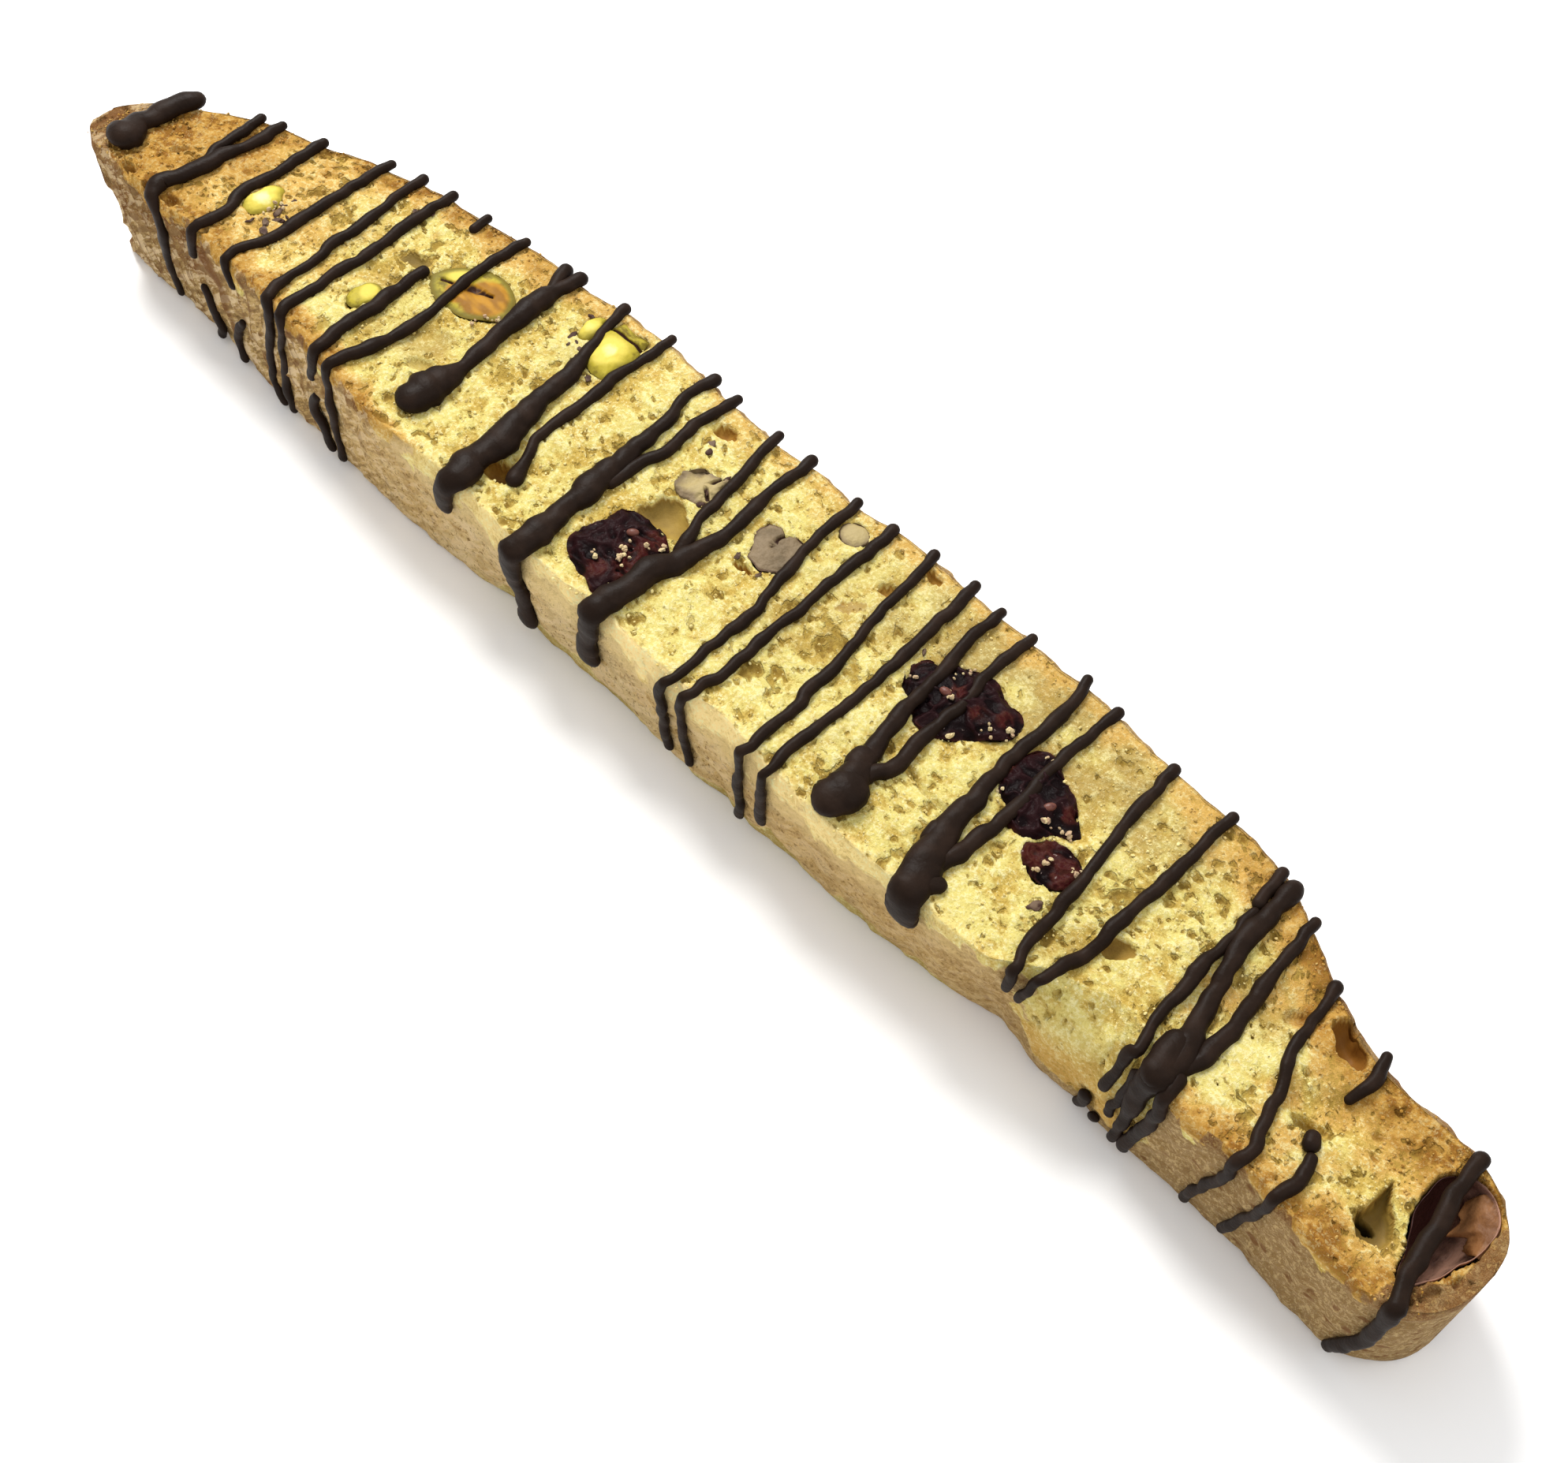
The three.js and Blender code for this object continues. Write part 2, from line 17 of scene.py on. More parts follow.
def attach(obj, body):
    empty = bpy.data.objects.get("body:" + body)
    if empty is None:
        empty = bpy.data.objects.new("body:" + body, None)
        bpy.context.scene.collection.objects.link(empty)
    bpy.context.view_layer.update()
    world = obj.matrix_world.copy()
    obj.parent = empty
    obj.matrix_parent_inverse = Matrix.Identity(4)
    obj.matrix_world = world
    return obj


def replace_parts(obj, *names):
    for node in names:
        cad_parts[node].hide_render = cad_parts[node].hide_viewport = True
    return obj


bl_info = {
    "name": "Biscotti",
    "version": (1, 0, 0),
    "blender": (4, 5, 0),
    "location": "3D View > Sidebar > Biscotti",
    "description": "Dresses a long fruit and nut biscotti with crumb, crust, filling and chocolate drizzle",
    "category": "Add Mesh",
}

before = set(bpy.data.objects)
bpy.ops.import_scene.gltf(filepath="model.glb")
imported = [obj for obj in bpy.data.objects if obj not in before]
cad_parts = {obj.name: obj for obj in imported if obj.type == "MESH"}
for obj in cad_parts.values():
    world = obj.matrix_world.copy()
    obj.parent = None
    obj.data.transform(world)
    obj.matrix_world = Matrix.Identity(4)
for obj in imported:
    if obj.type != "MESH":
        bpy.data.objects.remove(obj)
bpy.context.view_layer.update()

BODY = "root"
MM = 0.001

# ---------------------------------------------------------------- sizes of the slice, in millimetres

LENGTH = 183.0
THICKNESS = 15.0
# Where the frame's origin lies in the slice's own layout
MIDDLE = (91.5, 12.257, 0.0)

# Outline of the upper cut face and foot of the flat crust, as (X, Y) from the pointed end
DOME_EDGE = (
    (0, 4.9), (0.5, 6.1), (2, 8.3), (6.6, 11.6), (12.7, 15.4), (20.3, 18.1), (28.3, 21.1), (36.4, 22.8),
    (46.6, 24.3), (57.5, 25.3), (67.2, 26.4), (78.6, 25.5), (94.7, 25.8), (104.3, 26.5), (113.7, 26.2),
    (124, 26.4), (135.6, 25.3), (147, 24.6), (152.9, 22.5), (158.4, 19.5), (163.5, 17.2), (176.7, 15.8),
    (183, 14.8),
)
FLAT_RIM = (
    (0, 1.7), (0.6, 0.8), (2.5, 0.1), (8, 0), (22, 0.1), (34.6, 0), (46, -1), (52.9, -1.8), (68, -1.5),
    (79.9, -2.2), (87, -1.3), (95.7, -1.7), (103, -1.3), (112.2, -2), (120, -1.7), (130, -1.1),
    (136.5, -0.6), (141, 1.3), (147, 2.9), (152.5, 1.9), (157, 0.8), (163.4, 1.3), (173.2, 0.2), (183, 0),
)
FLAT_FOOT = (
    (0, 0.8), (0.6, 0), (3, -0.6), (9, -0.5), (18.6, 0), (31.7, -1), (49, -1.3), (66.9, -0.8),
    (72.9, 0.1), (77.7, -0.7), (87, -0.4), (101.6, -0.4), (118.9, 0.1), (132, 1), (137.5, 2.4),
    (143, 1.4), (163.8, 1.5), (173.5, 0.6), (183, 1),
)

# The lean and roundness of both ends, the bulge of both walls, and how their edges are rounded
DOME_FOOT_IN = 0.7
BLUNT_START = 175.5
BLUNT_MIDDLE = 8.0
BLUNT_POWER = 2.4
TIP_LEAN = 6.2
TIP_LEAN_POWER = 0.75
TIP_LIP = 3.3
TIP_LIP_LEVEL = 0.17
BLUNT_LEAN = 0.8
DOME_BULGE = 0.5
FLAT_BULGE = 0.25
EDGE_ROUND = 0.42
CHIP_ROUND = 1.8
WORN_ROUND = 0.7
# The crusts get their unevenness over this length from the tip
STRAIGHT_TIP = 8.0

# Stretches along X: what lies between two places, or comes or goes from the first to the second
CHIP = (137.0, 158.0)
WORN_RIM = (54.0, 138.0)
BROKEN_FOOT = (62.0, 138.0)
LOW_CRUST = (50.0, 145.0)
FLAKES_GO = (35.0, 65.0)
LINES_COME = (125.0, 160.0)
TIP_BAKE_GOES = (18.0, 32.0)
DOME_TOAST_GOES = (34.0, 66.0)
DOME_TOAST_COMES = (136.0, 160.0)
FLAT_TOAST_GOES = (50.0, 66.0)
FLAT_TOAST_COMES = (148.0, 158.0)
TIP_TOAST_GOES = (9.0, 28.0)
TIP_TINT_GOES = (24.0, 46.0)
END_TOAST_COMES = (148.0, 166.0)
END_BROWN_COMES = (168.0, 180.0)
END_RIM_COMES = (177.0, 179.5)

# Where the cut face is browned at both ends, and the upper edge of the crust as a share of the height
TIP_RIM = 3.0
BLUNT_RIM = 181.3
CRUST_TOP = 0.93
LOW_CRUST_TOP = 0.83
DOME_BROWN = 0.65

# Pores, as (size, share beside that of the settings, place in the seeds), and places in the noise's lattice
PORES = ((2.3, 0.3, 0), (1.15, 0.8, 10), (0.62, 1.1, 20))
LATTICE = 32

# Sides of the slice, in the order in which a ring goes round them
FLAT, TOP, DOME, BOTTOM = range(4)

# Mesh of the crumb
STATIONS = 596
STATION_CROWDING = 0.35
END_MARGIN = 0.05
TOP_CELLS = 106
FLAT_CELLS = 34
DOME_CELLS = 15
BOTTOM_CELLS = 8

# Width of the toasted bands beside both crusts, and how brown the flat crust is, along X
TOAST_BY_DOME = ((0, 8), (15, 6), (40, 5), (60, 4.6), (80, 5), (110, 4), (125, 4.4), (150, 6), (183, 8))
TOAST_BY_FLAT = ((0, 7), (15, 5), (40, 3.6), (58, 2.2), (70, 1), (130, 0.9), (150, 2), (165, 4.5), (183, 6))
BROWN_ALONG_CRUST = (
    (0, 0.7), (14, 0.55), (24, 0.3), (40, 0.3), (52, 0.12), (60, 0.05), (70, -0.25), (92, -0.15),
    (104, 0.08), (118, 0.28), (130, 0.36), (146, 0.65), (160, 0.85), (183, 1),
)

# Where the crumb is a duller tan, partly painted shade of the dips: middle, length, width, turn and how dull
SHADED_TAN_PATCHES = (
    (124, 21, 58, 15, 0, 0.9), (101, 14, 14, 15, 0, 0.55), (140.5, 4.5, 7, 7, 0, 0.5),
    (24.5, 8, 8, 8, 0, 0.4), (63, 18.5, 10, 7, 0, 0.45), (84, 14, 9, 7, 0, 0.5), (111, 5, 5, 8, 0, 0.5),
    (68.5, 5, 5, 7, 0, 0.4), (155.5, 14, 12, 9, 60, 0.7), (152.5, 20.5, 6, 6, 0, 0.9),
    (45, 4, 5, 8, 0, 0.4), (49.5, 8, 9, 7, 20, 0.7), (41, 10.5, 7, 4, 10, 0.6), (52, 17.5, 6, 7, 0, 0.6),
    (24, 10, 7, 6, 0, 0.5),
)

# Broad dips in the upper face: middle, length, width, depth and turn of the length from X in degrees
DIPS = (
    (49.5, 8.2, 9, 6, 0.35, 20), (41, 10.5, 6, 3, 0.3, 10), (156.5, 15, 9, 4.5, 0.9, 38),
    (165.5, 10.2, 8, 4.2, 1.1, 30), (171, 11.5, 6, 4.5, 0.8, -30), (144, 5.2, 11, 5, 0.8, -8),
    (152, 9, 7, 5, 0.5, 60), (137, 6.5, 7, 5, 0.35, 20), (88.5, 8.8, 8, 4, 0.5, 25),
    (120, 9.4, 10, 5, 0.35, 0), (106, 8, 10, 7, 0.25, 40), (68, 4.4, 7, 4.5, 0.4, 20),
    (173.5, 2.2, 7, 2.5, 0.5, 0), (158.5, 20, 6, 3, 0.6, -40),
)

# Hollows in the upper face with an outline of their own. lining is how much smooth skin they show, and tone
# its colour: -1 amber, 0 tan, 1 olive.
OUTLINED_HOLLOWS = (
    dict(
        outline=((38.7, 13.8), (38.9, 14.9), (40.3, 15.3), (42.1, 15.4), (42.1, 14.4), (40.4, 13.7)),
        depth=0.7, lining=0.8, tone=1.0,
    ),
    dict(
        outline=((80.4, 9.8), (81, 11.5), (82, 13.2), (84.3, 12.9), (86.2, 11.2), (86, 10), (83.7, 9.9)),
        depth=1.5, lining=0.9, tone=0.8,
    ),
    dict(
        outline=(
            (160.5, 16.6), (161, 17.4), (163, 16.7), (164.9, 15.7), (164.9, 14.8), (163.3, 14.5),
            (161.6, 15.3),
        ),
        depth=2.6, lining=1.0, tone=-1.0,
    ),
    dict(
        outline=(
            (172.5, 9.6), (173.6, 8), (174.6, 7), (175.8, 5.5), (175.6, 3.9), (173.6, 3.4), (172.3, 4.4),
            (172.6, 7.1),
        ),
        depth=2.3, lining=1.0, tone=0.8, straight=True,
    ),
)
# Oval ones, as (X, Y, length, width, turn in degrees, depth, lining, tone)
OVAL_HOLLOWS = (
    (52.1, 6.3, 3.8, 1.6, 30, 0.6, 0.5, 0.9), (49.6, 8.4, 6.4, 4.2, 25, 0.25, 0.3, 0.8),
    (54.2, 19.2, 2.6, 3.6, -30, 0.3, 0.3, 0.8), (67.9, 3.4, 4.2, 2.8, 25, 2.2, 1.0, 0.15),
    (79.4, 22.4, 2.6, 1.6, 25, 1.1, 0.9, -0.4), (103.9, 20.5, 2.4, 1.4, 35, 0.9, 0.8, 0.2),
    (105.9, 24.6, 2.2, 1.2, 0, 0.8, 0.8, -0.3), (102.9, 16.6, 3.6, 1.8, 50, 0.15, 0.5, -0.7),
    (92.7, 12.4, 2.4, 1.1, 12, 1.3, 0.8, -0.2), (143.8, 8.5, 3.0, 1.9, 35, 1.0, 0.7, 0.6),
    (158.2, 14.7, 2.8, 1.7, 30, 0.8, 0.35, -0.5), (164.8, 8, 2.6, 1.3, 20, 1.3, 0.4, 0.5),
    (166.2, 8.5, 1.2, 1.1, 0, 0.9, 0.3, 0.5), (162, 11.3, 0.9, 0.7, 0, 0.8, 0.1, 0.4),
    (169.4, 11.7, 1.2, 0.8, 40, 0.6, 0.2, 0.4), (170.4, 9.8, 1.1, 0.8, 0, 0.7, 0.2, 0.5),
    (157.4, 12.5, 1.4, 0.8, 30, 0.6, 0.3, 0.7), (173.4, 5.3, 2.4, 1.1, 0, 4.4, 1.0, 1.0),
    (179.4, 2.1, 1.5, 0.9, 30, 0.9, 0.3, -0.6), (180.6, 4.2, 1.1, 1.6, -20, 0.9, 0.3, -0.8),
    (181.3, 6.1, 0.8, 1.3, 0, 0.7, 0.2, -0.8), (180.3, 3, 0.8, 0.7, 0, 0.7, 0.1, -0.4),
    (10.2, 6.2, 1.8, 1.0, 60, 0.9, 0.2, 0.0), (8.8, 0.7, 2.2, 1.0, 8, 1.4, 0.0, 0.0),
    (12.2, 0.6, 1.6, 0.9, -10, 1.2, 0.0, 0.0), (15.9, 1.2, 2.6, 1.5, 10, 1.1, 0.0, 0.0),
    (21.4, 1.1, 2.4, 1.2, 0, 0.8, 0.0, 0.0),
)
# The pocket of the lost nut
POCKET = dict(
    outline=(
        (175.2, 12.6), (175, 10.4), (175.4, 8), (176.9, 5.2), (178.3, 2.8), (179.8, 4.6), (180.8, 7.8),
        (181.3, 10.4), (180.6, 12.9), (178.8, 14.1), (176.6, 13.9),
    ),
    depth=6.2, lining=1.0, tone=-0.5,
)
CRACKS = (((118.8, 8.5), (121.7, 7.7), (124.7, 7.6)),)
CRACK_DEPTH = 0.9
BOWL_FLATNESS = 2.4
BOWL_STEEPNESS = 0.6

# What the knife cut through: outline of the cut, depth below the face, and what shows in it. crown is how
# far the middle stands up, skin how much of the skin shows round the cut, and ragged how uneven it is. A
# hole is (X, Y, radius) and a crack a line. pale and brown are (X, Y, reach) of a patch, and a cranberry is
# red where it is brown.
# On the pistachios the pale patches lie where the light is brightest, and are partly a painted highlight.
PISTACHIOS = (
    dict(
        node="pistachio_small",
        outline=(
            (21.9, 6), (21.4, 8.4), (21.7, 10.2), (22.7, 10.7), (23.9, 9.7), (24.4, 7.4), (23.4, 5.9),
        ),
        depth=1.6, crown=0.75, skin=0.2, pale=((22.9, 8, 3.6),),
    ),
    dict(
        node="pistachio_sliver",
        outline=((39.4, 6.6), (39.3, 7.9), (40.3, 9.5), (41.2, 9.6), (41.8, 7), (41.1, 5.7), (40, 5.8)),
        depth=0.9, crown=0.35, skin=0.6, pale=((41, 8.4, 2),),
    ),
    dict(
        node="pistachio_half",
        outline=(
            (43.2, 14.4), (43.9, 16.6), (45.3, 18.1), (47.6, 19.3), (50.3, 19.2), (52.3, 18),
            (53.1, 16.5), (52.6, 15.2), (51.2, 14), (48.7, 12.8), (45.5, 12.8),
        ),
        depth=2.1, crown=0.3, skin=0.9, pale=((45.4, 16.7, 2.4),),
        brown=((49.8, 16.2, 4.0), (47.2, 15.0, 2.4)), ragged=0.04,
        holes=((47.7, 16.15, 0.85), (48.3, 16.35, 0.7), (48.9, 16.6, 0.5)),
        cracks=(((47.9, 16.2), (49.9, 16.9)), ((44.5, 14.8), (45.6, 15.2))),
    ),
    dict(
        node="pistachio_block",
        outline=(
            (61.2, 22.3), (62, 24.3), (65.6, 24.6), (66.5, 22), (66.4, 18), (64.6, 17.7), (63.1, 18.2),
            (62.2, 20.2),
        ),
        depth=2.1, crown=0.7, skin=0.25, straight=True, pale=((64, 20.6, 3.2),),
        # This crack also darkens the block's far facet: painted shade.
        cracks=(((61.9, 22.9), (65.9, 23.2)),),
    ),
    dict(
        node="pistachio_block", part="_lobe",
        outline=((60.4, 19.8), (59.4, 21), (59.3, 22.6), (60.1, 23.5), (61, 22.6), (61.2, 20.8)),
        depth=1.8, crown=0.8, skin=0.3, pale=((60.3, 21.2, 2.2),),
    ),
)
CRANBERRIES = (
    dict(
        node="cranberry_far",
        outline=(
            (79.2, 2.3), (80.6, 1.3), (83.3, 0.9), (85.9, 0.2), (86.1, 2.6), (87.5, 5.7), (87.1, 8.1),
            (85.3, 9.4), (83, 9.7), (80.1, 8.9), (79.5, 6.4), (78.9, 4.6),
        ),
        depth=2.5, crown=0.7,
        holes=((82.1, 5.6, 0.55), (83.1, 4.1, 0.5), (84.2, 5.9, 0.5), (83.5, 7.7, 0.6), (85.2, 3.4, 0.4)),
        brown=((86, 5.4, 4.6), (83.6, 2.4, 2), (85.2, 8.2, 2.4)), seeds=((82.9, 7.1, 40),),
    ),
    dict(
        node="cranberry_middle",
        outline=(
            (112.8, 13.5), (111.5, 15.2), (111.8, 17.6), (113.3, 18.2), (114.9, 19.5), (118.5, 20.3),
            (120.4, 19.6), (122.4, 19.3), (123.3, 17.6), (121.9, 15.4), (120.4, 13.8), (118.8, 12.4),
            (116.4, 11.7), (114.4, 12.9),
        ),
        depth=2.3, crown=0.75, holes=((117.6, 15.4, 0.6), (115.2, 14.4, 0.5)),
        brown=((116.6, 16.6, 1.5), (119.6, 16.4, 1.6), (121.6, 17.8, 1.5)), seeds=((115.7, 15.9, 10),),
    ),
    dict(
        node="cranberry_near",
        outline=(
            (125.9, 12.5), (125.3, 15.2), (125.6, 17.9), (127, 18.5), (129.5, 17.2), (133.1, 15.2),
            (134.3, 13.8), (132.4, 12.4), (131.2, 10.6), (129.5, 10.3), (127.6, 11.6),
        ),
        depth=2.4, crown=0.8, holes=((128.6, 13, 0.5),), brown=((132.4, 14.6, 1.6),),
        seeds=((130.5, 13.8, 60),),
    ),
    dict(
        node="cranberry_bit",
        outline=(
            (131.4, 9.9), (131.9, 11.2), (133.2, 12.3), (135, 12.4), (137.1, 11.3), (137.2, 10),
            (135.4, 8.3), (133.9, 8.1), (132.3, 8.8),
        ),
        depth=1.5, crown=0.6, brown=((133, 10.4, 3.4), (135.8, 10.2, 2.8)),
    ),
)
NUTS = (
    dict(
        node="nut_upper",
        outline=(
            (81, 14.4), (80.6, 16.6), (81.4, 17.8), (82.8, 17.5), (84.4, 18.2), (85, 16.4), (84.6, 14.8),
            (82.9, 14),
        ),
        depth=1.6, crown=0.15, skin=0.1, ragged=0.3, pale=((82.3, 16, 2.3), (84.2, 16.2, 2.8)),
        cracks=(((83.6, 17.9), (83.4, 17)), ((83.5, 16), (84.4, 15.4))),
    ),
    dict(
        node="nut_heart",
        outline=(
            (92, 13.6), (90.4, 16.3), (90.5, 17.8), (91.8, 18.3), (92.75, 17.75), (93.5, 18.6),
            (94.9, 18.6), (95.7, 16.9), (95.3, 14.3), (93.9, 13.3),
        ),
        depth=2.1, crown=0.2, skin=0.7, straight=True,
        cracks=(((92.75, 17.8), (92.6, 17), (92.9, 16.1)),),
    ),
    dict(
        node="nut_edge",
        outline=((95.4, 22.7), (96.1, 23.9), (97.5, 24), (98.5, 23), (98, 21.7), (96.4, 21.5)), depth=1.1,
        crown=0.2, skin=0.7, pale=((97, 22.9, 2.4),),
    ),
)
FILLING = (*PISTACHIOS, *CRANBERRIES, *NUTS)

# How deep the filling's sockets are, how far its cut lies under the face, how uneven it is, and its mesh
SOCKET_DEPTH = 1.4
LUMP_SINK = 0.12
GROOVE_DEPTH = 0.5
LUMP_RAGGED = 0.09
FRUIT_RAGGED = 0.14
LUMP_RINGS = 64
LUMP_SPOKES = 150

# Papery skin of the lost nut: its mesh, how far it lies in from the pocket's wall, and how thick it is
SKIN_RINGS = 40
SKIN_INSET = 0.22
SKIN_THICKNESS = 0.14
# The flake of skin that hangs from the pocket's rim, as (X, Y, Z): where it is held, and its torn edge
FLAKE_HELD = ((181.3, 9.2, 14.2), (181.4, 11.2, 14.6), (180.8, 12.9, 14.6), (178.6, 14.1, 14.4))
FLAKE_TORN = ((180.2, 9.5, 12.6), (179.5, 10.2, 12.4), (178.3, 10.3, 12.2), (177.6, 13, 13))
FLAKE_CELLS = (40, 26)

# Small things on the cut face: pale crumbs on the fruit, and flakes of dark skin, partly painted shade, as
# (X, Y, length)
CLINGING = (
    (84, 5.7), (84.9, 6.7), (84.4, 4.8), (85.1, 4.2), (86, 7.9), (86.1, 2.5), (115.4, 18.2),
    (116.1, 19.2), (118.9, 13.3), (121, 15.8), (122.7, 17), (116.8, 16), (126.9, 17.4), (126.6, 12.4),
    (131.2, 12.7), (132.4, 13), (133.7, 13.5), (51.9, 14.6), (52.9, 15.2), (53.3, 16.3), (52.9, 17.6),
    (51, 13.6), (24.6, 7.6), (24.8, 8.9), (133.9, 9), (134.2, 9.8), (136, 10.8), (136.8, 11.3),
    (82.4, 3.2), (112.8, 15.2),
)
SKIN_FLAKES_AND_SHADE = (
    (24.8, 9.2, 0.9), (25.3, 8.2, 1.2), (26.1, 7.5, 1.3), (26.4, 8.5, 0.7), (24.3, 5.3, 0.9),
    (25.6, 6.3, 1.1), (26.3, 5.6, 1.3), (25, 10.4, 0.6), (59.6, 19.6, 1.1), (60.4, 18.9, 1.4),
    (61.8, 18.9, 1.2), (62.2, 17.6, 1.5), (63.6, 16.8, 1.3), (64.9, 17, 1.0), (58.9, 22.6, 0.7),
    (83.9, 15.9, 0.7), (84.5, 14.5, 0.9), (83.9, 18.5, 0.7), (91.4, 12.9, 0.8), (94.3, 12.9, 0.8),
    (79.9, 19.9, 1.6), (136.1, 6.4, 1.5), (35.4, 18.6, 1.4), (36.4, 20, 1.0), (111.2, 17.9, 0.8),
)

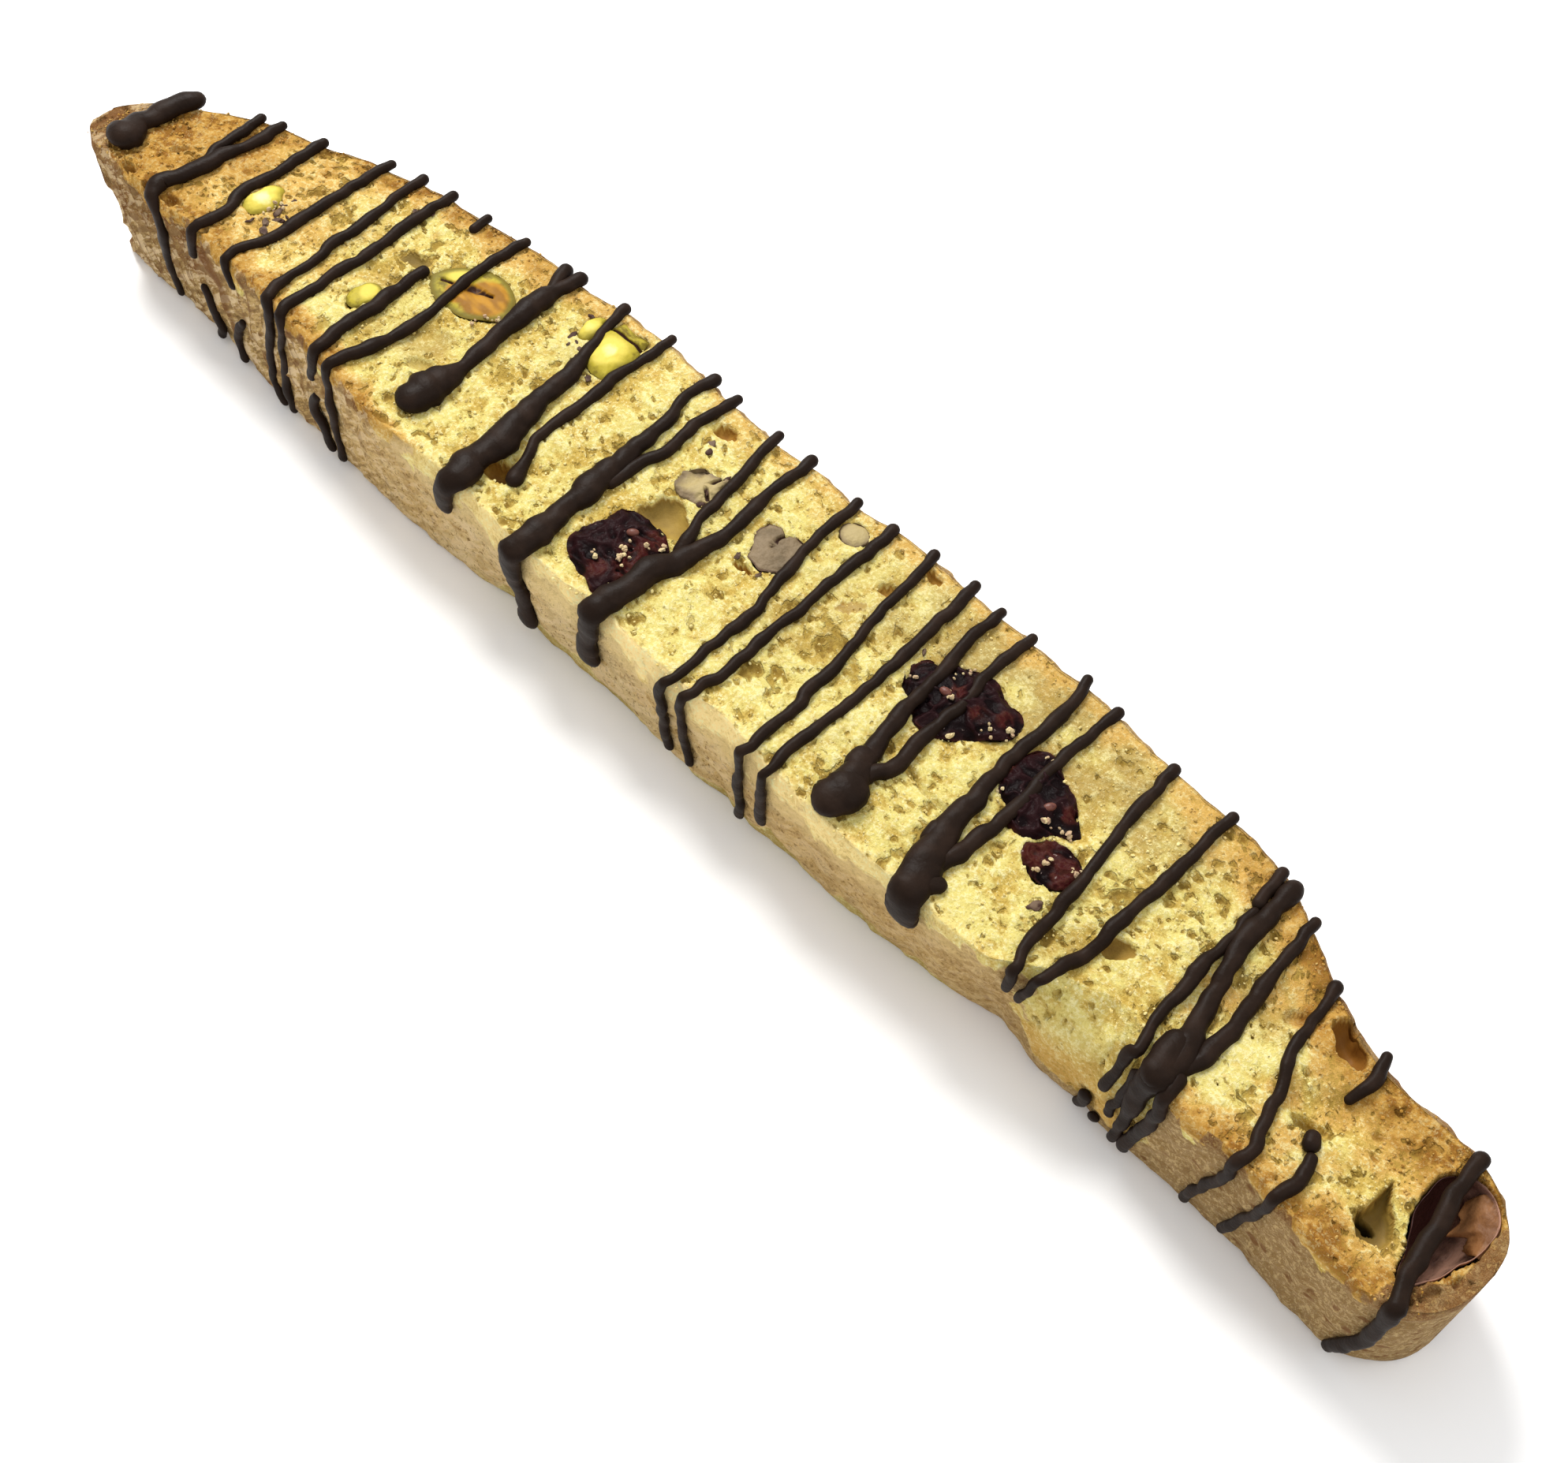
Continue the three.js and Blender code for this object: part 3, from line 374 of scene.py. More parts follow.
# Drizzle strands: face is the route over the upper face as (X, Y), crust the route down the flat crust as
# (X, Z), width the widths at even steps along both
STRANDS = (
    dict(
        face=((5.7, 11.5), (4.8, 9.8), (4.5, 7.6), (4.4, 5.4), (5.1, 3.2)),
        width=(2.1, 2.6, 2.9, 3.0, 2.9, 4.1),
    ),
    dict(face=((12.7, 15.2), (13.2, 12.2), (13.1, 9.6), (13.9, 7.4)), width=(1.3, 1.3, 1.2, 1.4)),
    dict(
        face=((15.2, 16.2), (15.4, 13.2), (14.5, 8), (13.9, 4.4), (13.2, 1.8)),
        crust=((15, 13.6), (15.3, 10.9), (14.9, 6.1), (14.9, 1.6)),
        width=(1.35, 1.4, 1.7, 1.9, 2.2, 1.7, 1.5, 1.5, 1.4),
    ),
    dict(
        face=((20.3, 17.9), (20.6, 12.1), (20.8, 6.8), (21.7, 4), (21.3, 1)),
        crust=((21.3, 13.9), (20.7, 11.6)), width=(1.3, 1.3, 1.3, 1.5, 1.2, 1.2, 1.3),
    ),
    dict(
        face=((27.8, 21.2), (27.8, 17), (28, 11), (28, 6), (26.9, 1.6)),
        crust=((27.2, 13.9), (28.2, 12.6)), width=(1.3, 1.2, 1.3, 1.4, 1.3, 1.1, 1.1),
    ),
    dict(
        face=((32, 22.2), (32.6, 16), (33.3, 8), (33.9, 1.8)),
        crust=((34.9, 13.8), (34.9, 11.6), (34.2, 8), (34, 3.6), (35.2, 1)),
        width=(1.3, 1.3, 1.25, 1.3, 1.3, 1.4, 1.2, 1.1, 1.3),
    ),
    dict(
        face=((36.1, 23), (35.8, 19), (36.7, 12), (36.6, 5), (37, 0.6)),
        crust=((37.5, 13.6), (36.6, 9.6), (36.4, 5.4), (36.6, 1.2)),
        width=(1.3, 1.3, 1.25, 1.35, 1.3, 1.3, 1.0, 1.3, 1.2),
    ),
    dict(face=((41.1, 23.6), (41.2, 21.5)), width=(1.1, 1.0)),
    dict(
        face=((42.6, 13.9), (42.4, 11.2), (43.2, 6.5), (43.1, 3), (43.6, -0.4)),
        crust=((43.4, 13.8), (42.9, 12), (42.6, 11)), width=(1.3, 1.6, 1.5, 1.7, 1.5, 1.5, 1.2),
    ),
    dict(
        face=((46.5, 24.3), (46.2, 21), (46.7, 15), (47.4, 9), (47.2, 4), (46, -0.4)),
        crust=((45.9, 13.2), (46, 9), (46, 4.8), (45.7, 1.5)),
        width=(1.3, 1.2, 1.3, 1.3, 1.5, 1.5, 1.3, 1.2, 1.0, 1.2),
    ),
    dict(face=((52.5, 24.6), (53.6, 21.8)), width=(1.7, 1.8)),
    dict(
        face=((54.4, 25), (53.9, 22), (54.5, 16), (55.4, 9), (55.6, 6), (55.4, 2.8)),
        width=(1.5, 1.8, 2.4, 2.5, 2.5, 2.4, 2.3, 2.1, 1.7, 2.6, 4.5, 4.7),
    ),
    dict(
        face=(
            (60.6, 25.6), (61.3, 22.6), (63.3, 16.8), (64.2, 11.1), (65.4, 5.4), (65.7, 1), (66.1, -0.8),
        ),
        crust=((65.7, 13.6), (65, 11.6)), width=(1.2, 1.2, 1.5, 1.9, 2.2, 2.7, 3.6, 3.6, 3.0, 2.6),
    ),
    dict(
        face=((66.9, 26.4), (66.8, 21), (67.4, 13), (67.9, 8), (69, 6), (70.2, 3.6)),
        width=(1.2, 1.2, 1.25, 1.3, 1.2, 1.7),
    ),
    dict(
        face=((73.8, 26), (73.5, 23.4), (74.7, 18), (75.5, 11.5), (76.3, 5.5), (76.9, -0.6)),
        crust=((76.5, 13.6), (75.8, 10.2), (76.1, 6.4), (76.3, 3.4)),
        width=(1.4, 1.4, 1.8, 2.2, 2.8, 3.0, 3.0, 2.8, 2.6, 2.9),
    ),
    dict(face=((77.2, 25.9), (76.9, 21.5), (77.3, 16.5), (76.6, 9.8)), width=(1.2, 1.2, 1.3, 1.4)),
    dict(face=((83.4, 25.7), (84.2, 21.5), (85.5, 15.5), (87.3, 9.4)), width=(1.2, 1.25, 1.3, 1.4)),
    dict(
        face=((87.9, 25.8), (88, 21), (88.8, 14), (88.3, 9), (87.4, 5), (87.4, -0.8)),
        crust=((87, 13.4), (86.3, 10), (86, 7.2)), width=(1.4, 1.4, 1.4, 1.6, 2.9, 3.0, 2.8, 2.7, 2.9),
    ),
    dict(
        face=((94.6, 25.5), (94.8, 21), (96, 14), (97.3, 8.5), (97.5, 3), (97.8, -0.6)),
        crust=((97.1, 13), (96.8, 9), (96.8, 3.2)), width=(1.2, 1.2, 1.25, 1.3, 1.3, 1.1, 1.3, 1.2),
    ),
    dict(
        face=((99.3, 25.6), (99.5, 20), (100.2, 11.5), (100.3, 5), (100.2, -0.8)),
        crust=((99.8, 13), (99.5, 8), (99.3, 3.2)), width=(1.2, 1.2, 1.3, 1.2, 1.15, 1.1, 1.2, 1.2),
    ),
    dict(
        face=((104.1, 26.3), (105.2, 21), (106.1, 13.5), (107, 8.5), (107.9, 3), (108.3, -0.6)),
        crust=((107.4, 13), (106.7, 7), (106.5, 2)), width=(1.2, 1.2, 1.3, 1.3, 1.25, 1.1, 1.1, 1.2),
    ),
    dict(
        face=((109.2, 26.6), (110, 20), (110.6, 11.5), (110.4, 5), (110.8, -0.9)),
        crust=((110.7, 13), (110.4, 10), (110, 5.6)), width=(1.2, 1.15, 1.2, 1.2, 1.1, 1.1, 1.2),
    ),
    dict(
        face=((113, 26.2), (113.2, 22), (114.4, 15.5), (115, 9.5), (116, 5.8), (117, 1.8)),
        width=(1.3, 1.3, 1.4, 1.4, 2.1, 2.0, 4.2),
    ),
    dict(face=((115.8, 5.8), (116, 5)), width=(2.9, 2.8)),
    dict(face=((117.2, 2), (117.1, 0.8)), width=(4.3, 3.8)),
    dict(
        face=((117, 26.1), (117, 21.5), (117.8, 14), (118.1, 8.5), (117.3, 4)),
        width=(1.15, 1.2, 1.2, 1.5, 1.9),
    ),
    dict(
        face=(
            (123.5, 26.5), (124.4, 21.5), (124.9, 15), (125.5, 9.5), (126, 5.6), (126.8, 2.4),
            (127.6, -0.8),
        ),
        crust=((127.9, 13.8), (127.9, 12.8)), width=(1.2, 1.3, 1.5, 1.5, 1.9, 2.4, 3.8, 3.8),
    ),
    dict(face=((125.6, 5.3), (125.8, 4.4)), width=(2.7, 2.5)),
    dict(face=((126.6, 2.6), (127.4, 1.6)), width=(3.4, 3.6)),
    dict(face=((129.3, 1.5), (128.6, 0.8)), width=(2.0, 2.4)),
    dict(
        face=((127.8, 25.9), (127.8, 21), (128.3, 12.5), (128.5, 6.5), (127.6, 2.8)),
        width=(1.15, 1.15, 1.3, 1.6, 2.0),
    ),
    dict(
        face=((135.3, 25), (135.8, 20.5), (137.2, 13.5), (137.8, 8), (138.3, 3), (139.2, 0.9)),
        crust=((139, 13.2), (138.9, 11.8)), width=(1.15, 1.15, 1.2, 1.3, 1.4, 1.3, 1.1),
    ),
    dict(
        face=((142.1, 25), (142.3, 19), (142.3, 11.5), (142.6, 7.5), (141.9, 4)),
        crust=((140.7, 13), (140.2, 10.4)), width=(1.2, 1.2, 1.3, 1.6, 1.4, 1.2, 1.0),
    ),
    dict(face=((148.6, 24), (149.4, 20.4)), width=(1.5, 1.6)),
    dict(
        face=((150.3, 23.4), (150.3, 20), (150.8, 16.2), (152.2, 11), (153.4, 6.5), (154, 4), (154, 2)),
        crust=((153.4, 13), (153, 8), (152, 1.8)), width=(1.9, 2.1, 1.8, 1.8, 2.4, 3.2, 2.0, 1.2, 1.2),
    ),
    dict(
        face=((149.4, 19.4), (149.7, 14.5), (149.9, 10.5), (150.4, 6.5), (151.2, 2.4)),
        crust=((150.6, 11.8), (149.9, 8.6)), width=(1.1, 1.2, 1.5, 1.0, 1.3, 1.1, 1.1),
    ),
    dict(
        face=((153.6, 22.4), (154, 19.5), (154.6, 13), (155.4, 8.5), (155.5, 6), (154.6, 3.8)),
        width=(1.2, 1.3, 1.5, 1.3, 1.7, 2.0),
    ),
    dict(face=((153.2, 5.2), (153.8, 2.4)), width=(3.0, 3.4)),
    dict(
        face=((155.3, 3), (155.6, 1.8)), crust=((155.4, 12.6), (154.4, 6.6), (153.3, 1.8)),
        width=(1.5, 1.5, 1.2, 1.4),
    ),
    dict(
        face=((158.6, 19.1), (159.4, 15), (160.2, 11.6), (161.5, 8.7), (162.5, 5.6), (163.7, 2)),
        crust=((163.1, 13), (161.7, 7), (160.1, 1.6)),
        width=(1.35, 1.2, 1.1, 1.3, 1.25, 1.2, 1.0, 1.0, 1.1),
    ),
    dict(face=((165.6, 17), (166.3, 15), (165.9, 12.2)), width=(1.25, 1.2, 1.2)),
    dict(face=((166, 7.1), (166.2, 6.6)), width=(1.5, 1.5)),
    dict(
        face=((167.1, 5.6), (167.6, 3.4), (167.4, 1.2)),
        crust=((167.2, 13.6), (166, 9), (164.9, 5), (164.2, 2.6)), width=(1.3, 1.3, 1.1, 1.0, 1.0, 1.0),
    ),
    dict(
        face=((176.4, 15.3), (176.8, 11.5), (177.6, 7.5), (178.6, 3.6), (179.6, 0.9)),
        crust=((179.3, 12.6), (178.7, 8.4), (177.5, 4), (176.8, 1.4)),
        width=(1.5, 1.7, 1.8, 1.7, 1.7, 1.5, 1.3, 1.5),
    ),
    dict(crust=((43, 8.4), (42.4, 6.8), (43.4, 4.4), (43.9, 1.4)), width=(1.1, 1.6, 1.3, 1.2)),
    dict(crust=((152.4, 13.6), (152, 10), (151.4, 5.6)), width=(1.2, 1.1, 1.1)),
    dict(crust=((21.6, 7.2), (22.7, 5.2), (22.9, 2.8), (22.7, 1.1)), width=(1.2, 1.3, 1.2)),
    dict(crust=((28.8, 7.6), (27.5, 5.2), (26.9, 2.6), (27.3, 1.1)), width=(1.1, 1.2, 1.2)),
    dict(crust=((148.7, 4.8), (148.3, 2.6), (147.9, 1.2)), width=(1.4, 1.2, 1.2)),
    dict(crust=((150, 2.2), (149.8, 1.8)), width=(1.2, 1.2)),
)

# Mesh of a strand, its width beside the listed one, its height from its radius, the share of it that is sunk
# into the slice, and its height on the wall beside that on the face
STRAND_SIDES = 16
STRAND_STEP = 0.29
STRAND_END_RINGS = 5
STRAND_WIDTH = 0.95
STRAND_HEIGHT = 0.76
STRAND_HEIGHT_POWER = 0.7
STRAND_SINK = 0.25
STRAND_ON_WALL = 0.8
# How far apart the strands lie in the noise
STRAND_APART = 3.7

# Camera: place in the slice's own layout, what it looks along, and what is level to its right
CAMERA_PLACE = (190.38, -73.49, 187.0)
CAMERA_ALONG = (-0.398149, 0.371631, -0.838671)
CAMERA_RIGHT = (0.6823, 0.7311, 0.0)
SENSOR_WIDTH = 36.0

# Lamps: place and size in metres, and tint
KEY_LIGHT = ((-0.5, 0.24, 0.65), 0.35, (1.0, 0.99, 0.97))
FILL_LIGHT = ((0.4, 0.1, 0.75), 0.6, (1.0, 1.0, 1.0))


# ---------------------------------------------------------------- numbers and noise


def linear(red, green, blue):
    """A screen colour from 0 to 255 as linear light."""
    shares = (red / 255, green / 255, blue / 255)
    return tuple(s / 12.92 if s <= 0.04045 else ((s + 0.055) / 1.055) ** 2.4 for s in shares)


def ramp(value, start, end):
    """0 at start, 1 at end, smooth in between."""
    t = np.clip((value - start) / (end - start), 0, 1)
    return t * t * (3 - 2 * t)


def hump(value, start, end):
    """0 at start and end and 1 halfway."""
    return np.sin(math.pi * np.clip((value - start) / (end - start), 0, 1))


def mix(low, high, share):
    """The value that lies a share of the way from low to high."""
    return low + (high - low) * share


def smooth_line(points, at):
    """The smooth curve through points (place, value), which never swings past them, read at some places."""
    place, value = np.array(points, float).T
    rise = np.diff(value) / np.diff(place)
    before, after = np.append(rise[0], rise), np.append(rise, rise[-1])
    steepest = np.where(before * after > 0, 3 * np.minimum(np.abs(before), np.abs(after)), 0)
    slope = np.clip((before + after) / 2, -steepest, steepest)
    i = np.clip(np.searchsorted(place, at) - 1, 0, len(place) - 2)
    span = place[i + 1] - place[i]
    t = np.clip((at - place[i]) / span, 0, 1)
    start = (1 + 2 * t) * (1 - t) ** 2 * value[i] + t * (1 - t) ** 2 * span * slope[i]
    end = t * t * (3 - 2 * t) * value[i + 1] + t * t * (t - 1) * span * slope[i + 1]
    return start + end


def distances_along(points):
    """How far along a line each of its points lies."""
    return np.concatenate([[0], np.cumsum(np.linalg.norm(np.diff(points, axis=0), axis=1))])


def straight_between(points, knots, at):
    """Places at some distances on the straight stretches between points that lie at knots."""
    return np.stack([np.interp(at, knots, column) for column in points.T], axis=-1)


def smooth_between(points, knots, at):
    """Places at some distances on the smooth curve through points that lie at knots."""
    return np.stack([smooth_line(np.stack([knots, column], axis=-1), at) for column in points.T], axis=-1)


def resampled(points, step):
    """Places about step apart on the smooth curve through points."""
    points = np.array(points, float)
    knots = distances_along(points)
    at = np.linspace(0, knots[-1], max(3, int(knots[-1] / step) + 1))
    between = straight_between if len(points) == 2 else smooth_between
    return between(points, knots, at)


def smooth_route(points, count):
    """Places on the smooth curve through points, as many as count."""
    points = np.array(points, float)
    knots = np.arange(len(points))
    return smooth_between(points, knots, np.linspace(0, knots[-1], count))


def unit_length(rows):
    """The same directions, each of length 1."""
    return rows / np.linalg.norm(rows, axis=1, keepdims=True)


def bumps(points, size, seed):
    """Smooth random values from -1 to 1 at points, in bumps about a size apart, which may differ by axis."""
    lattice = np.random.default_rng(seed).uniform(-1, 1, (LATTICE,) * 3)
    cell = np.asarray(points, float) / size
    corner = np.floor(cell).astype(int)
    part = cell - corner
    part = part * part * (3 - 2 * part)
    total = 0
    for offset in np.ndindex(2, 2, 2):
        share = np.prod(np.where(offset, part, 1 - part), axis=-1)
        index = (corner + offset) % LATTICE
        total = total + share * lattice[index[..., 0], index[..., 1], index[..., 2]]
    return total


def octaves(points, size, seed, count):
    """bumps at count sizes, each half the one before and half as strong."""
    return sum(bumps(points, np.asarray(size) / 2**i, seed + i) / 2**i for i in range(count))


def folds(points, size, seed):
    """Sharp creases: 1 in a crease and falling to 0 beside it."""
    return 1 - np.abs(np.clip(2.5 * bumps(points, size, seed), -1, 1))


def at_height(x, y, z=0.0):
    """Points from places along each axis, which may be arrays of different shapes."""
    return np.stack(np.broadcast_arrays(x, y, z), axis=-1).astype(float)


# ---------------------------------------------------------------- form of the slice


def round_blunt_end(x, y):
    """Draws Y in to the middle of the blunt end, where the two crusts meet in a round."""
    run = np.clip((x - BLUNT_START) / (LENGTH - BLUNT_START), 0, 1)
    return mix(BLUNT_MIDDLE, y, (1 - run**BLUNT_POWER) ** (1 / BLUNT_POWER))


def dome_edge(x, level):
    """Y of the domed crust. level is 0 at the lower cut face and 1 at the upper one."""
    bulge = DOME_BULGE * hump(level, 0, 1) - DOME_FOOT_IN * (1 - level) ** 2
    place = at_height(x, 0, level * THICKNESS)
    wander = 0.3 * bumps(place, (5, 5, 8), 3) + 0.12 * bumps(place, (1.3, 5, 2), 5)
    uneven = (bulge + wander) * np.minimum(x / STRAIGHT_TIP, 1)
    return round_blunt_end(x, smooth_line(DOME_EDGE, x) + uneven)


def flat_edge(x, level):
    """Y of the flat crust at a level."""
    straight = mix(smooth_line(FLAT_FOOT, x), smooth_line(FLAT_RIM, x), level)
    bulge = FLAT_BULGE * hump(level, 0, 1) * (1 + 3 * hump(x, *CHIP))
    place = at_height(x, 0, level * THICKNESS)
    wander = 0.22 * bumps(place, (4, 4, 7), 4) + 0.15 * bumps(place, (1.4, 4, 2), 6)
    return round_blunt_end(x, straight - bulge + wander * np.minimum(x / STRAIGHT_TIP, 1))


def slanted_x(x, level):
    """Both ends lean in under the upper face, and the pointed end has a small foot."""
    lip = TIP_LIP * (1 - ramp(level, 0, TIP_LIP_LEVEL))
    tip = TIP_LEAN * (1 - level) ** TIP_LEAN_POWER - lip
    lean = mix(tip, -BLUNT_LEAN * (1 - level), x / LENGTH)
    return x + lean * (1 - hump(x, 0, LENGTH))


def oval(x, y, at, size, turn):
    """Distance from the middle of an oval, in parts of its radius."""
    angle = math.radians(turn)
    along = (x - at[0]) * math.cos(angle) + (y - at[1]) * math.sin(angle)
    across = (y - at[1]) * math.cos(angle) - (x - at[0]) * math.sin(angle)
    return np.hypot(along / (size[0] / 2), across / (size[1] / 2))


def edge_radius(outline, angle, straight=False):
    """How far a closed outline lies from its middle, at angles from X. Its sides may be straight."""
    points = np.array(outline, float)
    middle = points.mean(axis=0)
    if straight:
        after = np.roll(points, -1, axis=0)
        shares = np.linspace(0, 1, 12, endpoint=False)
        points = np.concatenate([mix(points, after, share) for share in shares])
    away = points - middle
    turns = np.arctan2(away[:, 1], away[:, 0])
    order = np.argsort(turns)
    around = np.concatenate([turns[order] + lap for lap in (-2 * math.pi, 0, 2 * math.pi)])
    radii = np.tile(np.hypot(away[order, 0], away[order, 1]), 3)
    return smooth_line(np.stack([around, radii], axis=-1), angle)


def distance_in(x, y, shape):
    """Distance from the middle of an oval or outline, in parts of how far its edge is that way."""
    if "outline" not in shape:
        return oval(x, y, shape["at"], shape["size"], shape["turn"])
    middle = np.mean(shape["outline"], axis=0)
    away_x, away_y = x - middle[0], y - middle[1]
    edge = edge_radius(shape["outline"], np.arctan2(away_y, away_x), shape.get("straight", False))
    return np.hypot(away_x, away_y) / edge


def near_line(x, y, line):
    """Distance to the nearest point of a line."""
    return np.min([np.hypot(x - px, y - py) for px, py in resampled(line, 0.2)], axis=0)


def face_height(x, y):
    """Z of the upper cut face before its pores, hollows and sockets."""
    place = at_height(x, y)
    height = THICKNESS + 0.2 * octaves(place, 7, 11, 3)
    for middle_x, middle_y, length, width, depth, turn in DIPS:
        distance = oval(x, y, (middle_x, middle_y), (length, width), turn)
        height = height - depth * (1 - ramp(distance, 0.2, 1.5))
    return height


def station_places():
    """X of the rings that the slice is made of, closer together at both ends."""
    t = np.linspace(0, 1, STATIONS)
    eased = t - STATION_CROWDING * np.sin(2 * math.pi * t) / (2 * math.pi)
    return mix(END_MARGIN, LENGTH - END_MARGIN, eased)


def slice_rings():
    """Points of the slice as (ring, place round it, 3), and for each place its side and its level."""
    x = station_places()[:, None]
    flat_levels = np.linspace(0, 1, FLAT_CELLS + 1)
    dome_levels = np.linspace(1, 0, DOME_CELLS + 1)
    top_shares = np.linspace(0, 1, TOP_CELLS + 1)[1:-1]
    bottom_shares = np.linspace(1, 0, BOTTOM_CELLS + 1)[1:-1]
    width = dome_edge(x, 1.0) - flat_edge(x, 1.0)

    def rounding(level, shoulder=0):
        inset = EDGE_ROUND * (ramp(level, 0.93, 1) + 1 - ramp(level, 0, 0.07))
        return np.minimum(inset + shoulder * ramp(level, 0.55, 1) ** 2, 0.2 * width)

    shoulder = CHIP_ROUND * hump(x, *CHIP) + WORN_ROUND * hump(x, *WORN_RIM)
    flat_y = flat_edge(x, flat_levels[None]) + rounding(flat_levels[None], shoulder)
    dome_y = dome_edge(x, dome_levels[None]) - rounding(dome_levels[None])
    top_y = mix(flat_y[:, -1:], dome_y[:, :1], top_shares[None])
    bottom_y = mix(flat_y[:, :1], dome_y[:, -1:], bottom_shares[None])
    levels = (flat_levels, np.ones_like(top_shares), dome_levels, np.zeros_like(bottom_shares))
    level = np.concatenate(levels)
    side = np.repeat([FLAT, TOP, DOME, BOTTOM], [len(part) for part in levels])
    y = np.concatenate([flat_y, top_y, dome_y, bottom_y], axis=1)
    flat_x = np.broadcast_to(x, y.shape)
    z = level[None] * face_height(flat_x, y)
    points = np.stack([slanted_x(flat_x, level[None]), y, z], axis=-1)
    shape = y.shape
    return points, np.broadcast_to(side, shape), np.broadcast_to(level, shape), flat_x


def ring_faces(rings, count):
    """Quads between rings and a fan at both ends, whose middle points come after the rings."""
    k = np.arange(count)
    after = (k + 1) % count
    a = (np.arange(rings - 1) * count)[:, None]
    quads = np.stack([a + k, a + after, a + count + after, a + count + k], axis=-1).reshape(-1, 4)
    last = (rings - 1) * count
    start = [(rings * count, after[i], k[i]) for i in range(count)]
    end = [(rings * count + 1, last + k[i], last + after[i]) for i in range(count)]
    return [tuple(q) for q in quads.tolist()] + [tuple(map(int, f)) for f in start + end]


def turned(faces):
    """The same faces, facing the other way."""
    return [face[::-1] for face in faces]


def closed(rings):
    """Points and faces of a solid made of rings of points, with a middle point at both ends."""
    return np.vstack([rings.reshape(-1, 3), rings[[0, -1]].mean(axis=1)]), ring_faces(*rings.shape[:2])


def with_ends(marks):
    """Marks of rings of points, with their values at both middle points added."""
    return {name: np.append(values, values[[0, -1]].mean(axis=1)) for name, values in marks.items()}


# ---------------------------------------------------------------- pieces and meshes


def to_frame(points):
    """From the slice's own layout in millimetres to the frame in metres."""
    return (np.asarray(points, float) - MIDDLE) * MM


def make_piece(name, points, faces, material, slot, marks=None, smooth=True):
    """A mesh piece that rides on the slice. marks are values for each of its points, by name."""
    mesh = bpy.data.meshes.new(name)
    mesh.from_pydata(to_frame(points).tolist(), [], faces)
    for mark, values in (marks or {}).items():
        layer = mesh.attributes.new(mark, "FLOAT", "POINT")
        layer.data.foreach_set("value", np.asarray(values, np.float32).ravel())
    mesh.polygons.foreach_set("use_smooth", np.full(len(mesh.polygons), smooth))
    mesh.materials.append(material)
    mesh.update()
    piece = bpy.data.objects.new(name, mesh)
    bpy.context.scene.collection.objects.link(piece)
    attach(piece, BODY)
    return piece


def ball(subdivisions):
    """Points and faces of a round ball of radius 1."""
    shape = bmesh.new()
    bmesh.ops.create_icosphere(shape, subdivisions=subdivisions, radius=1)
    points = np.array([v.co[:] for v in shape.verts])
    faces = [tuple(v.index for v in f.verts) for f in shape.faces]
    shape.free()
    return points, faces


def joined(parts):
    """One list of points and one of faces from several."""
    points, faces, count = [], [], 0
    for part_points, part_faces in parts:
        points.append(part_points)
        faces += [tuple(i + count for i in face) for face in part_faces]
        count += len(part_points)
    return np.concatenate(points), faces


# ---------------------------------------------------------------- shader maths


class Field:
    """A shader socket that can be used in expressions."""

    def __init__(self, paint, socket):
        self.paint = paint
        self.socket = socket

    def maths(self, operation, *values):
        """A sum, product or the like of fields and numbers."""
        return self.paint.node("ShaderNodeMath", {"operation": operation}, dict(enumerate(values)))

    def __add__(self, other):
        return self.maths("ADD", self, other)

    def __sub__(self, other):
        return self.maths("SUBTRACT", self, other)

    def __rsub__(self, other):
        return self.maths("SUBTRACT", other, self)

    def __mul__(self, other):
        return self.maths("MULTIPLY", self, other)

    __radd__ = __add__
    __rmul__ = __mul__

    def largest(self, other):
        return self.maths("MAXIMUM", self, other)

    def ramp(self, start, end):
        """0 at start, 1 at end, smooth in between."""
        inputs = {"Value": self, "From Min": start, "From Max": end}
        return self.paint.node("ShaderNodeMapRange", {"interpolation_type": "SMOOTHSTEP"}, inputs)


def rgba(colour):
    """A colour for a socket, unless it is a field already."""
    return colour if isinstance(colour, Field) else (*colour, 1.0)


